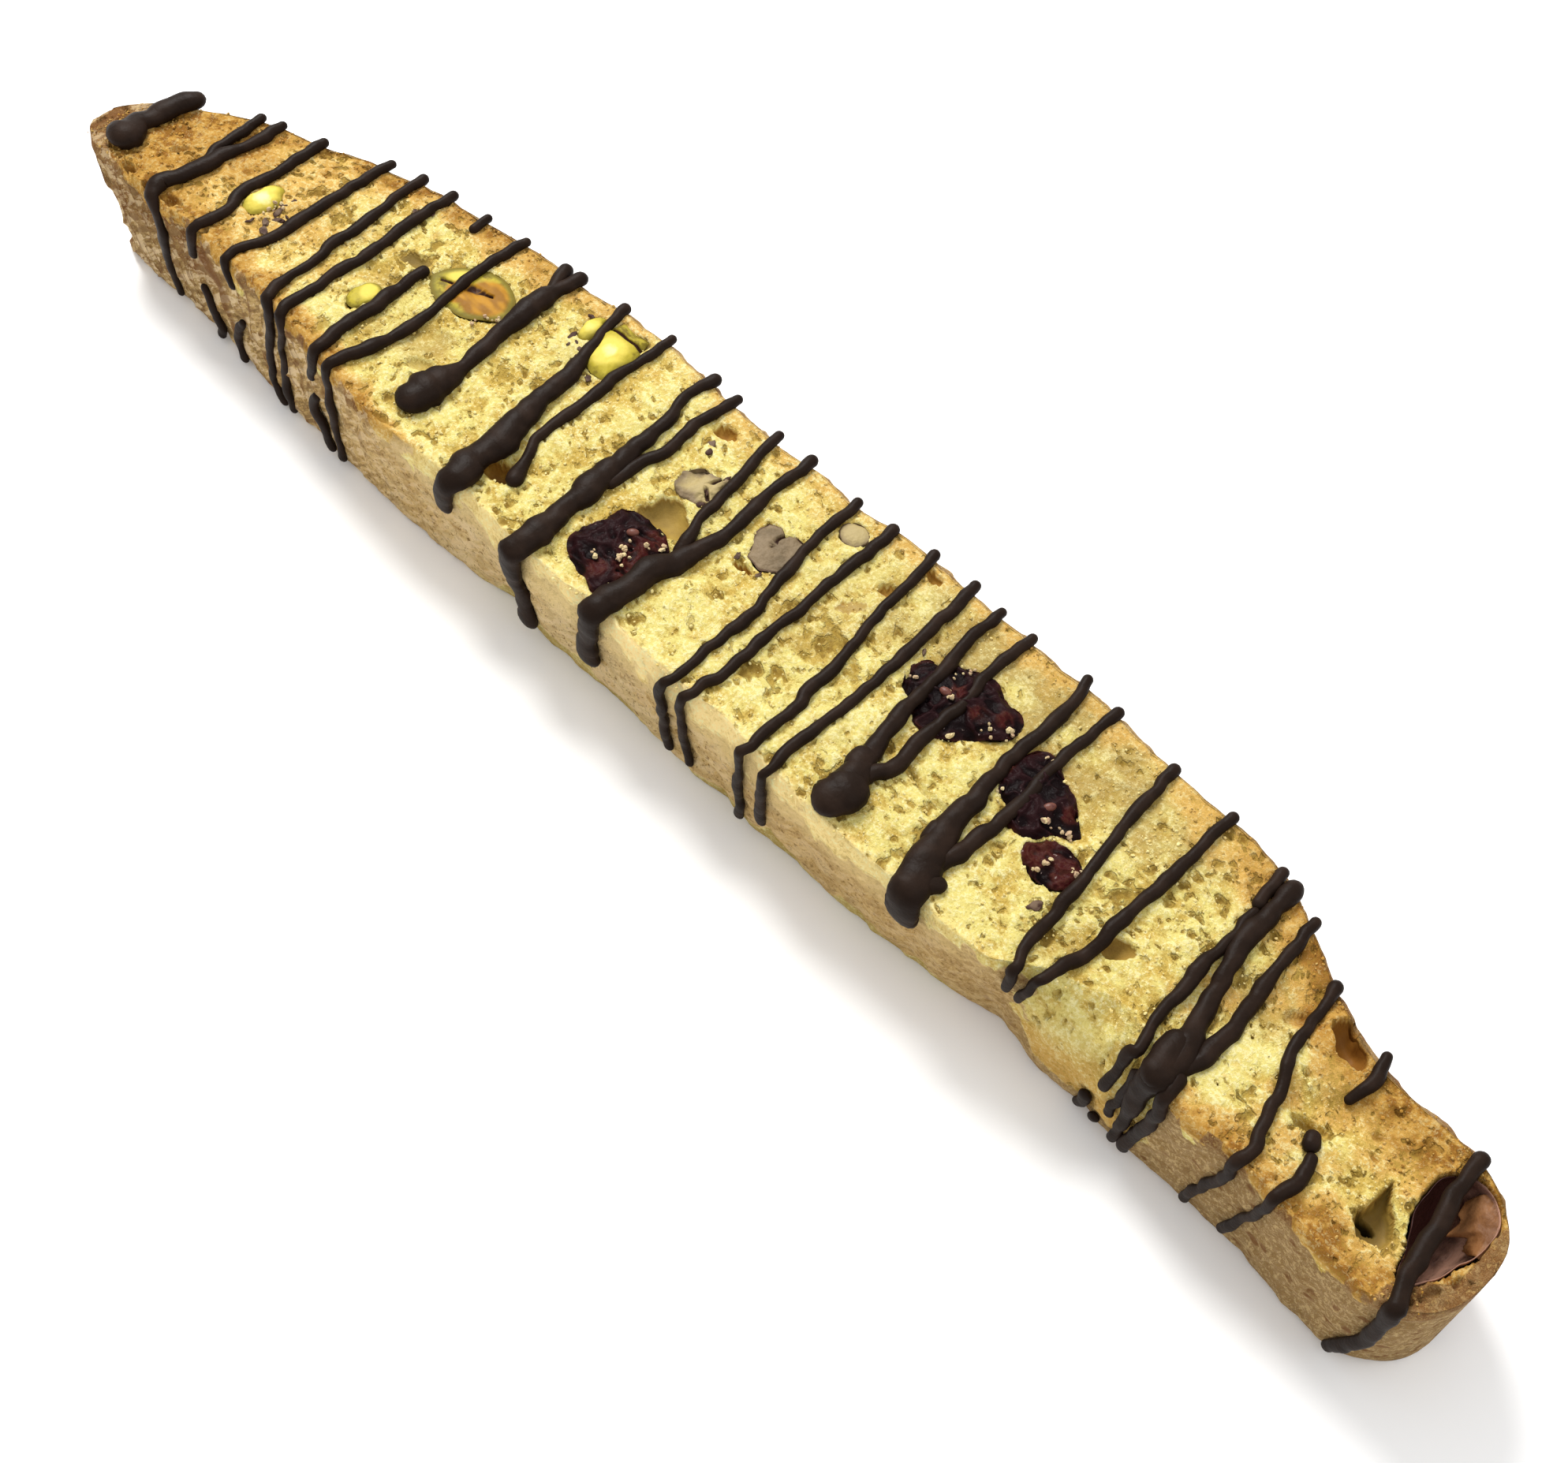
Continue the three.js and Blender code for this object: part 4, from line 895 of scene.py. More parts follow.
class Paint:
    """A material and the nodes that make it."""

    def __init__(self, name):
        self.material = bpy.data.materials.new(name)
        self.material.use_nodes = True
        self.material.node_tree.nodes.clear()

    def node(self, kind, settings=None, inputs=None, output=0):
        """Adds a node of a kind, sets it, fills its sockets with values or links, and gives one output."""
        tree = self.material.node_tree
        made = tree.nodes.new(kind)
        for key, value in (settings or {}).items():
            setattr(made, key, value)
        for key, value in (inputs or {}).items():
            if isinstance(value, Field):
                tree.links.new(value.socket, made.inputs[key])
            else:
                made.inputs[key].default_value = value
        return Field(self, made.outputs[output]) if made.outputs else None

    def place(self, stretch=(1, 1, 1)):
        """Where a point is on the object, in millimetres divided by stretch."""
        where = self.node("ShaderNodeTexCoord", output="Object")
        scale = tuple(1 / (MM * s) for s in stretch)
        return self.node("ShaderNodeVectorMath", {"operation": "MULTIPLY"}, {0: where, 1: scale})

    def mark(self, name):
        """A value that the mesh holds for each point."""
        return self.node("ShaderNodeAttribute", {"attribute_name": name}, output="Fac")

    def marks(self, names):
        """Several marks, from their names with spaces between."""
        return [self.mark(name) for name in names.split()]

    def noise(self, place, size, detail=2.0, roughness=0.5):
        """Clouds from 0 to 1 of about a size in millimetres."""
        inputs = {"Vector": place, "Scale": 1 / size, "Detail": detail, "Roughness": roughness}
        return self.node("ShaderNodeTexNoise", None, inputs, "Fac")

    def cells(self, place, size):
        """Distance to the nearest of many scattered points, about size apart."""
        inputs = {"Vector": place, "Scale": 1 / size}
        return self.node("ShaderNodeTexVoronoi", None, inputs, "Distance")

    def blend(self, low, high, share):
        """From colour low to colour high."""
        settings = {"data_type": "RGBA", "clamp_factor": True}
        return self.node("ShaderNodeMix", settings, {0: share, 6: rgba(low), 7: rgba(high)}, 2)

    def coats(self, colour, *coats):
        """A colour with others over it in turn, each with how much of it shows."""
        for coat, share in coats:
            colour = self.blend(colour, coat, share)
        return colour

    def bump(self, height, distance, strength=1.0):
        """Normals of a relief that is distance millimetres deep where height goes from 0 to 1."""
        inputs = {"Height": height, "Distance": distance * MM, "Strength": strength}
        return self.node("ShaderNodeBump", None, inputs)

    def finish(self, colour, roughness, specular, normal=None):
        """Ends the material in a Principled shader."""
        inputs = {"Base Color": rgba(colour), "Roughness": roughness, "Specular IOR Level": specular}
        if normal is not None:
            inputs["Normal"] = normal
        shader = self.node("ShaderNodeBsdfPrincipled", None, inputs)
        self.node("ShaderNodeOutputMaterial", None, {"Surface": shader})
        return self.material


# ---------------------------------------------------------------- crumb and crust


def bowl(distance):
    """Depth of a round hollow: 1 in the middle, and 0 at its rim, a distance of 1 away."""
    return np.clip(1 - distance**BOWL_FLATNESS, 0, 1) ** BOWL_STEEPNESS


def all_hollows():
    """Every hollow of the upper face, the pocket last."""
    bowls = [
        dict(at=(x, y), size=(length, width), turn=turn, depth=depth, lining=lining, tone=tone)
        for x, y, length, width, turn, depth, lining, tone in OVAL_HOLLOWS
    ]
    return (*OUTLINED_HOLLOWS, *bowls, POCKET)


def hollows_at(x, y):
    """Depth of the hollows under the face at a place, how far their smooth inside shows, and its tone."""
    place = at_height(x, y)
    ragged_x = x + 0.16 * bumps(place, 1.1, 31) + 0.1 * bumps(place, 0.45, 32)
    ragged_y = y + 0.16 * bumps(place, 1.1, 33) + 0.1 * bumps(place, 0.45, 34)
    depth, lining, tone = np.zeros((3, *x.shape))
    for hollow in all_hollows():
        loose = 0.3 if hollow.get("straight") else 1.0
        distance = distance_in(mix(x, ragged_x, loose), mix(y, ragged_y, loose), hollow)
        round_bowl = bowl(distance)
        steep = (1 - ramp(distance, 0.84, 1.0)) * (0.75 + 0.25 * round_bowl)
        depth = np.maximum(depth, hollow["depth"] * (steep if hollow.get("straight") else round_bowl))
        inside = 1 - ramp(distance, 0.9, 1.03)
        lining = np.maximum(lining, inside * hollow["lining"])
        tone = np.where(inside > 0, mix(tone, hollow["tone"], inside), tone)
    for lump in FILLING:
        distance = distance_in(ragged_x, ragged_y, lump)
        depth = np.maximum(depth, SOCKET_DEPTH * (1 - ramp(distance, 0.8, 1.02)))
    for crack in CRACKS:
        near = near_line(ragged_x, ragged_y, crack)
        depth = np.maximum(depth, CRACK_DEPTH * (1 - ramp(near, 0, 0.35)))
    return depth, lining, tone


def toast_at(x, from_dome, from_flat, place):
    """How toasted the crumb is: most beside the crusts and at both ends."""
    wander = octaves(place, 3, 71, 3)
    ends = np.maximum(1 - ramp(x, *DOME_TOAST_GOES), ramp(x, *DOME_TOAST_COMES))
    by_dome = 1 - ramp(from_dome / smooth_line(TOAST_BY_DOME, x) + 0.35 * wander, 0.1, 1.1)
    by_flat = 1 - ramp(from_flat / smooth_line(TOAST_BY_FLAT, x) + 0.35 * wander, 0.1, 1.2)
    flat_share = np.maximum(0.95 * (1 - ramp(x, *FLAT_TOAST_GOES)), 0.9 * ramp(x, *FLAT_TOAST_COMES))
    toast = np.maximum(by_dome * mix(0.4, 0.95, ends), by_flat * flat_share)
    toast = np.maximum(toast, 1 - ramp(x + 3 * wander, *TIP_TOAST_GOES))
    toast = np.maximum(toast, 0.4 * (1 - ramp(x + 5 * wander, *TIP_TINT_GOES)))
    near = 0.1 + 0.4 * wander + 0.45 * (1 - ramp(from_dome, 2, 8)) + 0.2 * ramp(x, *END_BROWN_COMES)
    return np.maximum(toast, (near + ramp(x, *END_RIM_COMES)) * ramp(x + 5 * wander, *END_TOAST_COMES))


def pores_at(place, share, seed):
    """Open bubbles of the crumb: over 0 inside, and about 1 in the middle of a large one."""
    crowd = 0.24 * bumps(place, 6, seed + 7)
    torn = [bumps(place, 0.8, seed + 40 + i) + 0.6 * bumps(place, 0.4, seed + 43 + i) for i in range(3)]
    torn = np.stack(torn, axis=-1)
    pore = np.full(place.shape[:-1], -1.0)
    for size, part, offset in PORES:
        field = octaves(place + 0.34 * size**0.5 * torn, size, seed + offset, 2) + crowd
        level = np.quantile(field, 1 - share * part)
        pore = np.maximum(pore, (field - level) / 0.4)
    return pore


def ovals(x, y, shapes, inner, outer):
    """The strongest of several soft ovals, each (X, Y, length, width, turn, strength)."""
    total = np.zeros(np.broadcast(x, y).shape)
    for middle_x, middle_y, length, width, turn, strength in shapes:
        distance = oval(x, y, (middle_x, middle_y), (length, width), turn)
        total = np.maximum(total, strength * (1 - ramp(distance, inner, outer)))
    return total


class Surface:
    """The slice before its relief, as places on rings round it, and what is known of each one."""

    def __init__(self):
        self.points, self.side, self.level, self.x = slice_rings()
        self.y = self.points[..., 1].copy()
        self.cut, self.wall, self.dome = (self.side == side for side in (TOP, FLAT, DOME))
        wide = dome_edge(self.x, 1.0) - flat_edge(self.x, 1.0)
        self.from_flat = np.clip(self.y - flat_edge(self.x, 1.0), 0, wide)
        self.from_dome = wide - self.from_flat
        self.place = at_height(self.x, self.y, self.level * THICKNESS)
        self.flaky = 1 - ramp(self.x, *FLAKES_GO)
        self.rubbed = hump(self.x, *WORN_RIM) ** 0.5
        chip = hump(self.x, *CHIP) * ramp(self.level, 0.05, 0.3)
        self.chipped = ramp(chip + 0.25 * bumps(self.place, 1.5, 61), 0.3, 0.5)
        foot = 1 - ramp(self.level + 0.16 * bumps(self.place, 3, 66), 0.1, 0.22)
        self.foot = ramp(hump(self.x, *BROKEN_FOOT), 0.05, 0.4) * foot
        self.broken = np.maximum(self.chipped, self.foot)


def crumb_relief(at, pore, pore_depth):
    """Relief of bare crumb, in millimetres."""
    ragged = 0.17 * octaves(at.place, 1.4, 51, 3) + 0.08 * bumps(at.place, 4, 58)
    return ragged - 0.08 * folds(at.place, 0.9, 57) - pore_depth * ramp(pore, -0.1, 0.9)


def crust_relief(at):
    """Relief of the baked skin, in millimetres, and how deep each place lies between the skin's flakes."""
    warped = at.place + 0.8 * bumps(at.place, 3, 69)[..., None]
    flake = np.maximum(folds(warped, (2.6, 9, 6), 68), folds(warped, (1.7, 9, 4), 70)) ** 2
    wrinkle = bumps(at.place, (1.3, 9, 3.5), 62) * (0.2 + at.flaky)
    lines = bumps(at.place, (4, 9, 1.6), 64) * ramp(at.x, *LINES_COME)
    creases = folds(warped, (7, 9, 2.8), 76) ** 3 * (1 - at.flaky)
    skin = 0.15 * wrinkle + 0.07 * lines + 0.17 * octaves(at.place, 2.2, 65, 4) + 0.1 + 0.3 * creases
    fine = 0.09 * octaves(at.place, 1.0, 77, 2) * (1 - at.flaky)
    return skin - 0.4 * flake * (0.15 + 0.85 * at.flaky) + fine, flake


def rough_points(at, ragged, skin, hollow, lining):
    """Points of the slice with the relief of the upper face, its hollows and both walls."""
    points = at.points.copy()
    edge = np.minimum(ramp(at.from_dome, 0, 0.8), ramp(at.from_flat, 0, 0.5))
    points[..., 2] += at.level * (np.where(at.cut, ragged, 0) * (1 - 0.85 * lining) * edge - hollow)
    mid_wall = np.sin(math.pi * np.clip(at.level, 0, 1)) ** 0.4
    bare = np.maximum(at.broken, 0.45 * at.rubbed * ramp(at.level, 0.72, 0.9))
    into_flat = mix(skin, 0.2 - 1.7 * ragged, bare)
    out_of_dome = 1.6 * skin + 0.14 * bumps(at.place, 2.2, 67)
    points[..., 1] += np.where(at.wall, into_flat * mid_wall, 0)
    points[..., 1] += np.where(at.dome, out_of_dome * mid_wall, 0)
    rim_share = np.maximum(at.chipped, at.rubbed) * ramp(at.level, 0.6, 0.9)
    points[..., 2] += np.where(at.wall, (0.9 * ragged - 0.05) * rim_share, 0)
    points[..., 2] = np.maximum(points[..., 2], 0)
    return points


def browned_rims(at):
    """How far the rims of both ends are browned."""
    tip = TIP_RIM + 3.5 * (1 - ramp(at.y, -0.5, 2.5)) + 0.8 * bumps(at.place, 1.6, 73)
    end = BLUNT_RIM - 3.4 * (1 - ramp(at.y, 2.6, 6.4)) + 0.5 * bumps(at.place, 1.6, 74)
    return np.maximum(1 - ramp(at.x, tip - 0.6, tip + 0.6), ramp(at.x, end - 0.5, end + 0.5))


def crust_share(at, rims):
    """How much of the surface is crust: both walls where they aren't broken, and both ends."""
    upper_edge = mix(CRUST_TOP, LOW_CRUST_TOP, hump(at.x, *LOW_CRUST))
    upper_edge = upper_edge + 0.12 * octaves(at.place, 1.8, 72, 4)
    on_wall = (1 - at.broken) * (1 - ramp(at.level, upper_edge - 0.03, upper_edge + 0.03))
    crust = np.where(at.wall, on_wall, np.where(at.dome, 1.0, 0.0))
    crust = np.maximum(crust, np.maximum(rims, 0.25 * np.where(at.cut, at.from_dome < 0.2, 0)))
    crust = np.where(at.side == BOTTOM, 0.0, crust)
    crust[[0, -1]] = 1
    return crust


def toast_share(at, rims):
    """How toasted the surface is, also down the flat crust, and in its chip, browner low down as painted
    shade.
    """
    toast = toast_at(at.x, at.from_dome, at.from_flat, at.place)
    baked_tip = (1 - ramp(at.x, *TIP_BAKE_GOES)) * ramp(at.level, 0.3, 0.75)
    baked = (1 - at.broken) * np.maximum(baked_tip, toast * ramp(at.level, 0.8, 1))
    # Browner toward the bottom of the chip: painted shade of its lower slope.
    in_chip = at.chipped * (0.08 + 0.6 * (1 - at.level) ** 1.5)
    toast = np.where(at.wall, np.maximum(baked, in_chip), toast)
    return np.maximum(toast, np.where(at.cut, rims, 0))


def shaded_tan_share(at):
    """How dull and tan the crumb is, with painted shade in dips, at the broken foot and low in the chip."""
    on_face = ovals(at.x, at.y, SHADED_TAN_PATCHES, 0.4, 1.3) * np.where(at.cut, 1, 0)
    on_face = on_face * (0.8 + 0.35 * octaves(at.place, 3, 75, 2))
    return np.maximum(on_face, np.where(at.wall, np.maximum(at.foot, 0.9 * at.chipped * (1 - at.level)), 0))


def rubbed_and_highlit_share(at):
    """How far the rim of the flat crust is rubbed, and painted lighter there, partly as a painted highlight.
    """
    on_face = np.where(at.cut, 0.75 * (1 - ramp(at.from_flat, 0.4, 2.4)), 0)
    return at.rubbed * np.where(at.wall, ramp(at.level, 0.6, 0.85), on_face)


def make_crumb(settings):
    """The slice itself: two cut faces, and the crust between them."""
    at = Surface()
    crumbly = np.where(at.wall, 0.7 * at.chipped, np.where(at.cut, 1.0, 0.0))
    hollow, lining, tone = hollows_at(at.x, at.y)
    pore = pores_at(at.place, settings.pore_share, settings.seed)
    pore = mix(-1, pore, crumbly) - 2 * ramp(hollow, 0.2, 0.7)
    ragged = crumb_relief(at, pore, settings.pore_depth)
    skin, flake = crust_relief(at)
    rims = browned_rims(at)
    sunk = np.where(at.cut, THICKNESS - face_height(at.x, at.y), 0)
    marks = {
        "pore": pore, "hollow": hollow, "lining": lining, "tone": tone, "flake": flake, "flaky": at.flaky,
        "crust": crust_share(at, rims), "toast": toast_share(at, rims), "worn": rubbed_and_highlit_share(at),
        # relief is low in the pits, folds and broad dips, and the crumb material paints shade from it.
        "dull": shaded_tan_share(at), "relief": np.clip((ragged + 0.05) / 0.2, -1, 1) - 0.6 * sunk,
        "brown": np.where(at.dome, DOME_BROWN, smooth_line(BROWN_ALONG_CRUST, at.x)),
    }
    points, faces = closed(rough_points(at, ragged, skin, hollow, lining))
    material = crumb_material(settings)
    return make_piece("crumb_and_crust", points, turned(faces), material, "baked_crumb", with_ends(marks))


def face_paint(paint, settings, broad, clumps, rag):
    """Crumb colour and relief: pale grains, painted shade in pores and low places, toast beside the crusts.
    """
    pore, hollow, toast, lining = paint.marks("pore hollow toast lining")
    relief, worn, dull = paint.marks("relief worn dull")
    grain = paint.noise(paint.place(), 0.42, 4, 0.78)
    patchy = toast.ramp(0.32, 0.85) * (0.6 + 0.4 * clumps.ramp(0.36, 0.6))
    spots = (0.55 * clumps + 0.45 * broad - 0.06 * relief).ramp(0.48, 0.57)
    grains = (grain + 0.06 * relief).ramp(0.5, 0.62) * (1 - toast.ramp(0.15, 0.7) * 0.7)
    shade = paint.blend(settings.deep, settings.browned, toast.ramp(0.4, 1.0) * 0.6)
    holes = (pore + 0.9 * (rag - 0.5)).ramp(-0.2, 0.3)
    painted_pore_shade = paint.blend(settings.painted_pore_shade, settings.browned, toast.ramp(0.2, 0.8) * 0.7)
    # Painted shade: low relief turns the crumb golden, with fewer light grains and more of the shade colour.
    colour = paint.coats(
        settings.pale,
        (settings.golden, (0.5 * broad + 0.5 * clumps - 0.1 * relief).ramp(0.42, 0.62)),
        # Dull tan, partly painted shade in the dips, at the broken foot and low in the chip.
        (settings.dull, (dull + 0.3 * (clumps - 0.5)).ramp(0.1, 0.9) * 0.85),
        # Rubbed rim: real wear, painted lighter as a painted highlight on that edge.
        (settings.rubbed_and_highlit_crumb, worn),
        (settings.peach, toast.ramp(0.05, 0.45) * 0.95),
        (settings.toasted, patchy),
        (settings.browned, toast.ramp(0.45, 1.0) * spots),
        (settings.light_grain, grains * (1 - 0.6 * dull) * 0.9),
        (shade, (grain + 0.1 * relief).ramp(0.46, 0.33) * (1 - 0.5 * worn) * 0.72),
        # Painted shade in the pores, and in the unlined hollows, sockets and cracks.
        (shade, holes * 0.6),
        (painted_pore_shade, (pore + 0.4 * (rag - 0.5)).ramp(0.3, 1.0) * 0.65),
        (painted_pore_shade, hollow.ramp(0.3, 1.5) * (1 - lining) * 0.8),
    )
    return colour, 1.2 * grain + 1.1 * clumps - 0.8 * holes


def crust_paint(paint, settings):
    """Colour and relief of the crust: browner along the slice, with dusty grains, specks and flakes."""
    toast, brown, flake, flaky, worn = paint.marks("toast brown flake flaky worn")
    place = paint.place()
    streaks = paint.noise(paint.place((4, 4, 1.5)), 1, 4, 0.65)
    slanted = {"Vector": place, "Rotation": (0, math.radians(-35), 0), "Scale": (2.6, 2, 0.9)}
    sheets = paint.noise(paint.node("ShaderNodeMapping", {"vector_type": "TEXTURE"}, slanted), 1, 4, 0.65)
    mottle = paint.noise(place, 2.6, 5, 0.7)
    speckle = paint.noise(place, 0.5, 4, 0.8)
    pits = (paint.cells(paint.place((1.6, 1, 1)), 1.5) + 1.1 * (mottle - 0.5)).ramp(0.28, 0.12)
    baked = toast.ramp(0.25, 0.8) * (0.5 + 0.5 * mottle.ramp(0.4, 0.56))
    fleck = (0.8 - 0.15 * brown) * (1 - 0.7 * baked)
    raised = sheets.ramp(0.51, 0.57) * (0.35 + 0.6 * flaky - 0.3 * brown)
    colour = paint.coats(
        settings.crust,
        (settings.light_crust, (2.2 * (streaks - 0.5) - brown).ramp(-0.25, 0.4)),
        (settings.brown_crust, (brown + 0.8 * (mottle - 0.5)).ramp(0.1, 0.95)),
        (settings.baked_crust, baked),
        (settings.crust, speckle.ramp(0.5, 0.38) * 0.7),
        (settings.dust, (speckle + 0.04 * brown).ramp(0.52, 0.6) * fleck),
        (settings.scorch, speckle.ramp(0.46, 0.38) * fleck),
        (settings.baked_crust, pits * (0.25 + 0.55 * brown.ramp(0.2, 0.9))),
        (settings.light_flake, raised * (1 - 0.45 * baked)),
        (settings.brown_crust, sheets.ramp(0.48, 0.41) * (0.2 + 0.58 * flaky)),
        (settings.baked_crust, flake.ramp(0.55, 0.95) * (0.1 + 0.6 * flaky)),
        # Rubbed rim: real wear, painted lighter as a painted highlight on the crust's upper edge.
        (settings.rubbed_and_highlit_crumb, worn * 0.7),
    )
    return colour, 2.0 * speckle + mottle + 2.2 * sheets * (0.3 + flaky)


def lining_paint(paint, settings, broad, clumps):
    """Smooth skin in the hollows: tan, green beside the nuts, or amber, with painted shade deep down."""
    hollow, tone = paint.marks("hollow tone")
    tan = paint.blend(settings.lining_tan, settings.lining_brown, clumps.ramp(0.35, 0.65))
    green = paint.blend(settings.lining_olive, settings.lining_moss, (broad + hollow * 0.1).ramp(0.5, 0.75))
    return paint.coats(
        tan, (green, tone.ramp(0.0, 1.0)), (settings.amber, tone.ramp(0.0, -1.0)),
        # Painted shade: darkest at the bottom of the deepest hollows, and the olive also darkens a little
        # with depth.
        (settings.deepest, hollow.ramp(2.5, 3.3) * 0.95),
    )


def crumb_material(settings):
    """Crumb, with the crust and the skin of the hollows over it."""
    paint = Paint("crumb_and_crust")
    crust, lining, worn = paint.marks("crust lining worn")
    place = paint.place()
    broad = paint.noise(place, 6, 3, 0.55)
    clumps = paint.noise(place, 1.15, 3, 0.6)
    rag = paint.noise(place, 0.3, 2, 0.5)
    crumb, crumb_rough = face_paint(paint, settings, broad, clumps, rag)
    baked, crust_rough = crust_paint(paint, settings)
    colour = paint.coats(
        crumb,
        (baked, (crust + 0.5 * (rag - 0.5)).ramp(0.25, 0.7)),
        (lining_paint(paint, settings, broad, clumps), lining.ramp(0.2, 0.7)),
    )
    on_face = (1 - crust.ramp(0.2, 0.8)) * (1 - lining * 0.85) * (1 - 0.5 * worn)
    normal = paint.bump(crumb_rough * on_face + crust_rough * crust, 0.26, settings.graininess)
    return paint.finish(colour, 0.9 - 0.4 * lining - 0.12 * crust, 0.1, normal)


# ---------------------------------------------------------------- loose grains on the face


def make_grains(settings):
    """Small crumbs that stand out of the cut face."""
    rng = np.random.default_rng(settings.seed)
    unit, faces = ball(1)
    x = rng.uniform(1, LENGTH - 2, settings.grain_count)
    y = mix(flat_edge(x, 1.0), dome_edge(x, 1.0), rng.uniform(0.015, 0.985, settings.grain_count))
    depth, _, _ = hollows_at(x, y)
    kept = depth < 0.2
    x, y, depth = x[kept], y[kept], depth[kept]
    z = face_height(x, y) - depth - 0.04
    toast = toast_at(x, dome_edge(x, 1.0) - y, y - flat_edge(x, 1.0), at_height(x, y, THICKNESS))
    parts = []
    for middle in zip(x, y, z):
        size = mix(0.07, settings.grain_size, rng.uniform(0, 1) ** 2.5)
        parts.append((uneven_grain(unit, size, rng) + middle, faces))
    points, all_faces = joined(parts)
    shade = rng.uniform(0, 1, len(x))
    marks = {"shade": np.repeat(shade, len(unit)), "toast": np.repeat(toast, len(unit))}
    material = grain_material(settings)
    return make_piece("loose_grains", points, all_faces, material, "baked_crumb", marks, smooth=False)


def uneven_grain(unit, size, rng):
    """Points of an uneven crumb, turned at random."""
    turn = np.array(Matrix.Rotation(rng.uniform(0, 7), 3, Vector(rng.uniform(-1, 1, 3))))
    shape = unit * rng.uniform(0.6, 1.2, 3) * size * (1 + 0.25 * rng.uniform(-1, 1, (len(unit), 1)))
    return shape @ turn.T


def grain_material(settings):
    """Grains as pale as the crumb round them, or as toasted."""
    paint = Paint("loose_grains")
    shade, toast = paint.marks("shade toast")
    colour = paint.coats(
        settings.golden,
        (settings.light_grain, 0.2 + 0.6 * shade),
        (settings.toasted, toast.ramp(0.05, 0.6) * (0.98 - 0.3 * shade)),
    )
    return paint.finish(colour, 0.85 + 0.05 * shade, 0.1)


# ---------------------------------------------------------------- chocolate


def strand_route(strand):
    """Points about STRAND_STEP apart along a strand, the way out of the slice there, and how far along."""
    points, outward = [], []
    if "face" in strand:
        x, y = resampled(strand["face"], STRAND_STEP).T
        points.append(np.stack([x, y, face_height(x, y)], axis=-1))
        outward.append(np.tile((0.0, 0.0, 1.0), (len(x), 1)))
    if "crust" in strand:
        x, z = resampled(strand["crust"], STRAND_STEP).T
        points.append(np.stack([x, flat_edge(x, z / THICKNESS), z], axis=-1))
        outward.append(np.tile((0.0, -1.0, 0.0), (len(x), 1)))
    if len(points) == 2:
        rim_x = (points[0][-1, 0] + points[1][0, 0]) / 2
        rim = np.array([[rim_x, flat_edge(rim_x, 1.0) + 0.1, face_height(rim_x, 0.0) - 0.1]])
        points.insert(1, rim)
        outward.insert(1, np.array([[0.0, -0.7, 0.7]]))
    points, outward = np.concatenate(points), np.concatenate(outward)
    knots = distances_along(points)
    at = np.linspace(0, knots[-1], max(4, int(knots[-1] / STRAND_STEP)))
    return straight_between(points, knots, at), unit_length(straight_between(outward, knots, at)), at


def sheet_mesh(grid, thickness):
    """A closed thin sheet from a grid of points."""
    points, faces = closed(np.concatenate([grid, grid[:, ::-1] - (0, 0, thickness)], axis=1))
    return points, turned(faces)


def strand_path(strand, wiggle, lumps, seed):
    """A strand's middle, the ways out of the slice and along it, and half its width and height."""
    points, outward, at = strand_route(strand)
    along = at_height(at, seed * STRAND_APART)
    widths = strand["width"]
    width = np.interp(at / at[-1], np.linspace(0, 1, len(widths)), widths) * STRAND_WIDTH
    radius = width / 2 * (1 + lumps * (bumps(along, 2.6, 82) + 0.6 * bumps(along, 1.1, 84)))
    on_wall = mix(1, STRAND_ON_WALL, np.clip(-outward[:, 1], 0, 1))
    half_height = STRAND_HEIGHT * radius**STRAND_HEIGHT_POWER * on_wall
    points = points + outward * (half_height * (1 - 2 * STRAND_SINK))[:, None]
    flow = unit_length(np.gradient(points, axis=0))
    wander = wiggle * (bumps(along, 3.2, 81) + 0.6 * bumps(along, 1.3, 85)) * np.minimum(1, at / 1.5)
    return points + np.cross(flow, outward) * wander[:, None], outward, flow, radius, half_height


def strand_mesh(strand, wiggle, lumps, seed):
    """A plump thread of chocolate with round ends."""
    points, outward, flow, radius, half_height = strand_path(strand, wiggle, lumps, seed)
    end_turns = np.linspace(0, math.pi / 2, STRAND_END_RINGS)[1:-1]
    start = [points[0] - flow[0] * radius[0] * math.cos(t) for t in end_turns]
    end = [points[-1] + flow[-1] * radius[-1] * math.cos(t) for t in end_turns[::-1]]
    points = np.vstack([start, points, end])
    grow = np.concatenate([np.sin(end_turns), np.ones(len(radius)), np.sin(end_turns[::-1])])
    radius = np.pad(radius, len(end_turns), "edge") * grow
    half_height = np.pad(half_height, len(end_turns), "edge") * grow
    outward = np.pad(outward, ((len(end_turns), len(end_turns)), (0, 0)), "edge")
    flow = unit_length(np.gradient(points, axis=0))
    sideways = unit_length(np.cross(flow, outward))
    outward = np.cross(sideways, flow)

    angle = np.linspace(0, 2 * math.pi, STRAND_SIDES, endpoint=False)[None, :, None]
    across = sideways[:, None] * np.cos(angle) * radius[:, None, None]
    upward = outward[:, None] * np.sin(angle) * half_height[:, None, None]
    rings = points[:, None] + across + upward
    foot = np.clip(-np.sin(angle[..., 0]), 0, 1)
    uneven = 1 + 0.1 * bumps(rings, 1.0, 83) + 0.16 * bumps(rings, 0.45, 86) * foot
    rings = points[:, None] + (across + upward) * uneven[..., None]
    first = points[0] - flow[0] * radius[0] * 0.3
    last = points[-1] + flow[-1] * radius[-1] * 0.3
    return np.vstack([rings.reshape(-1, 3), first, last]), turned(ring_faces(len(rings), STRAND_SIDES))


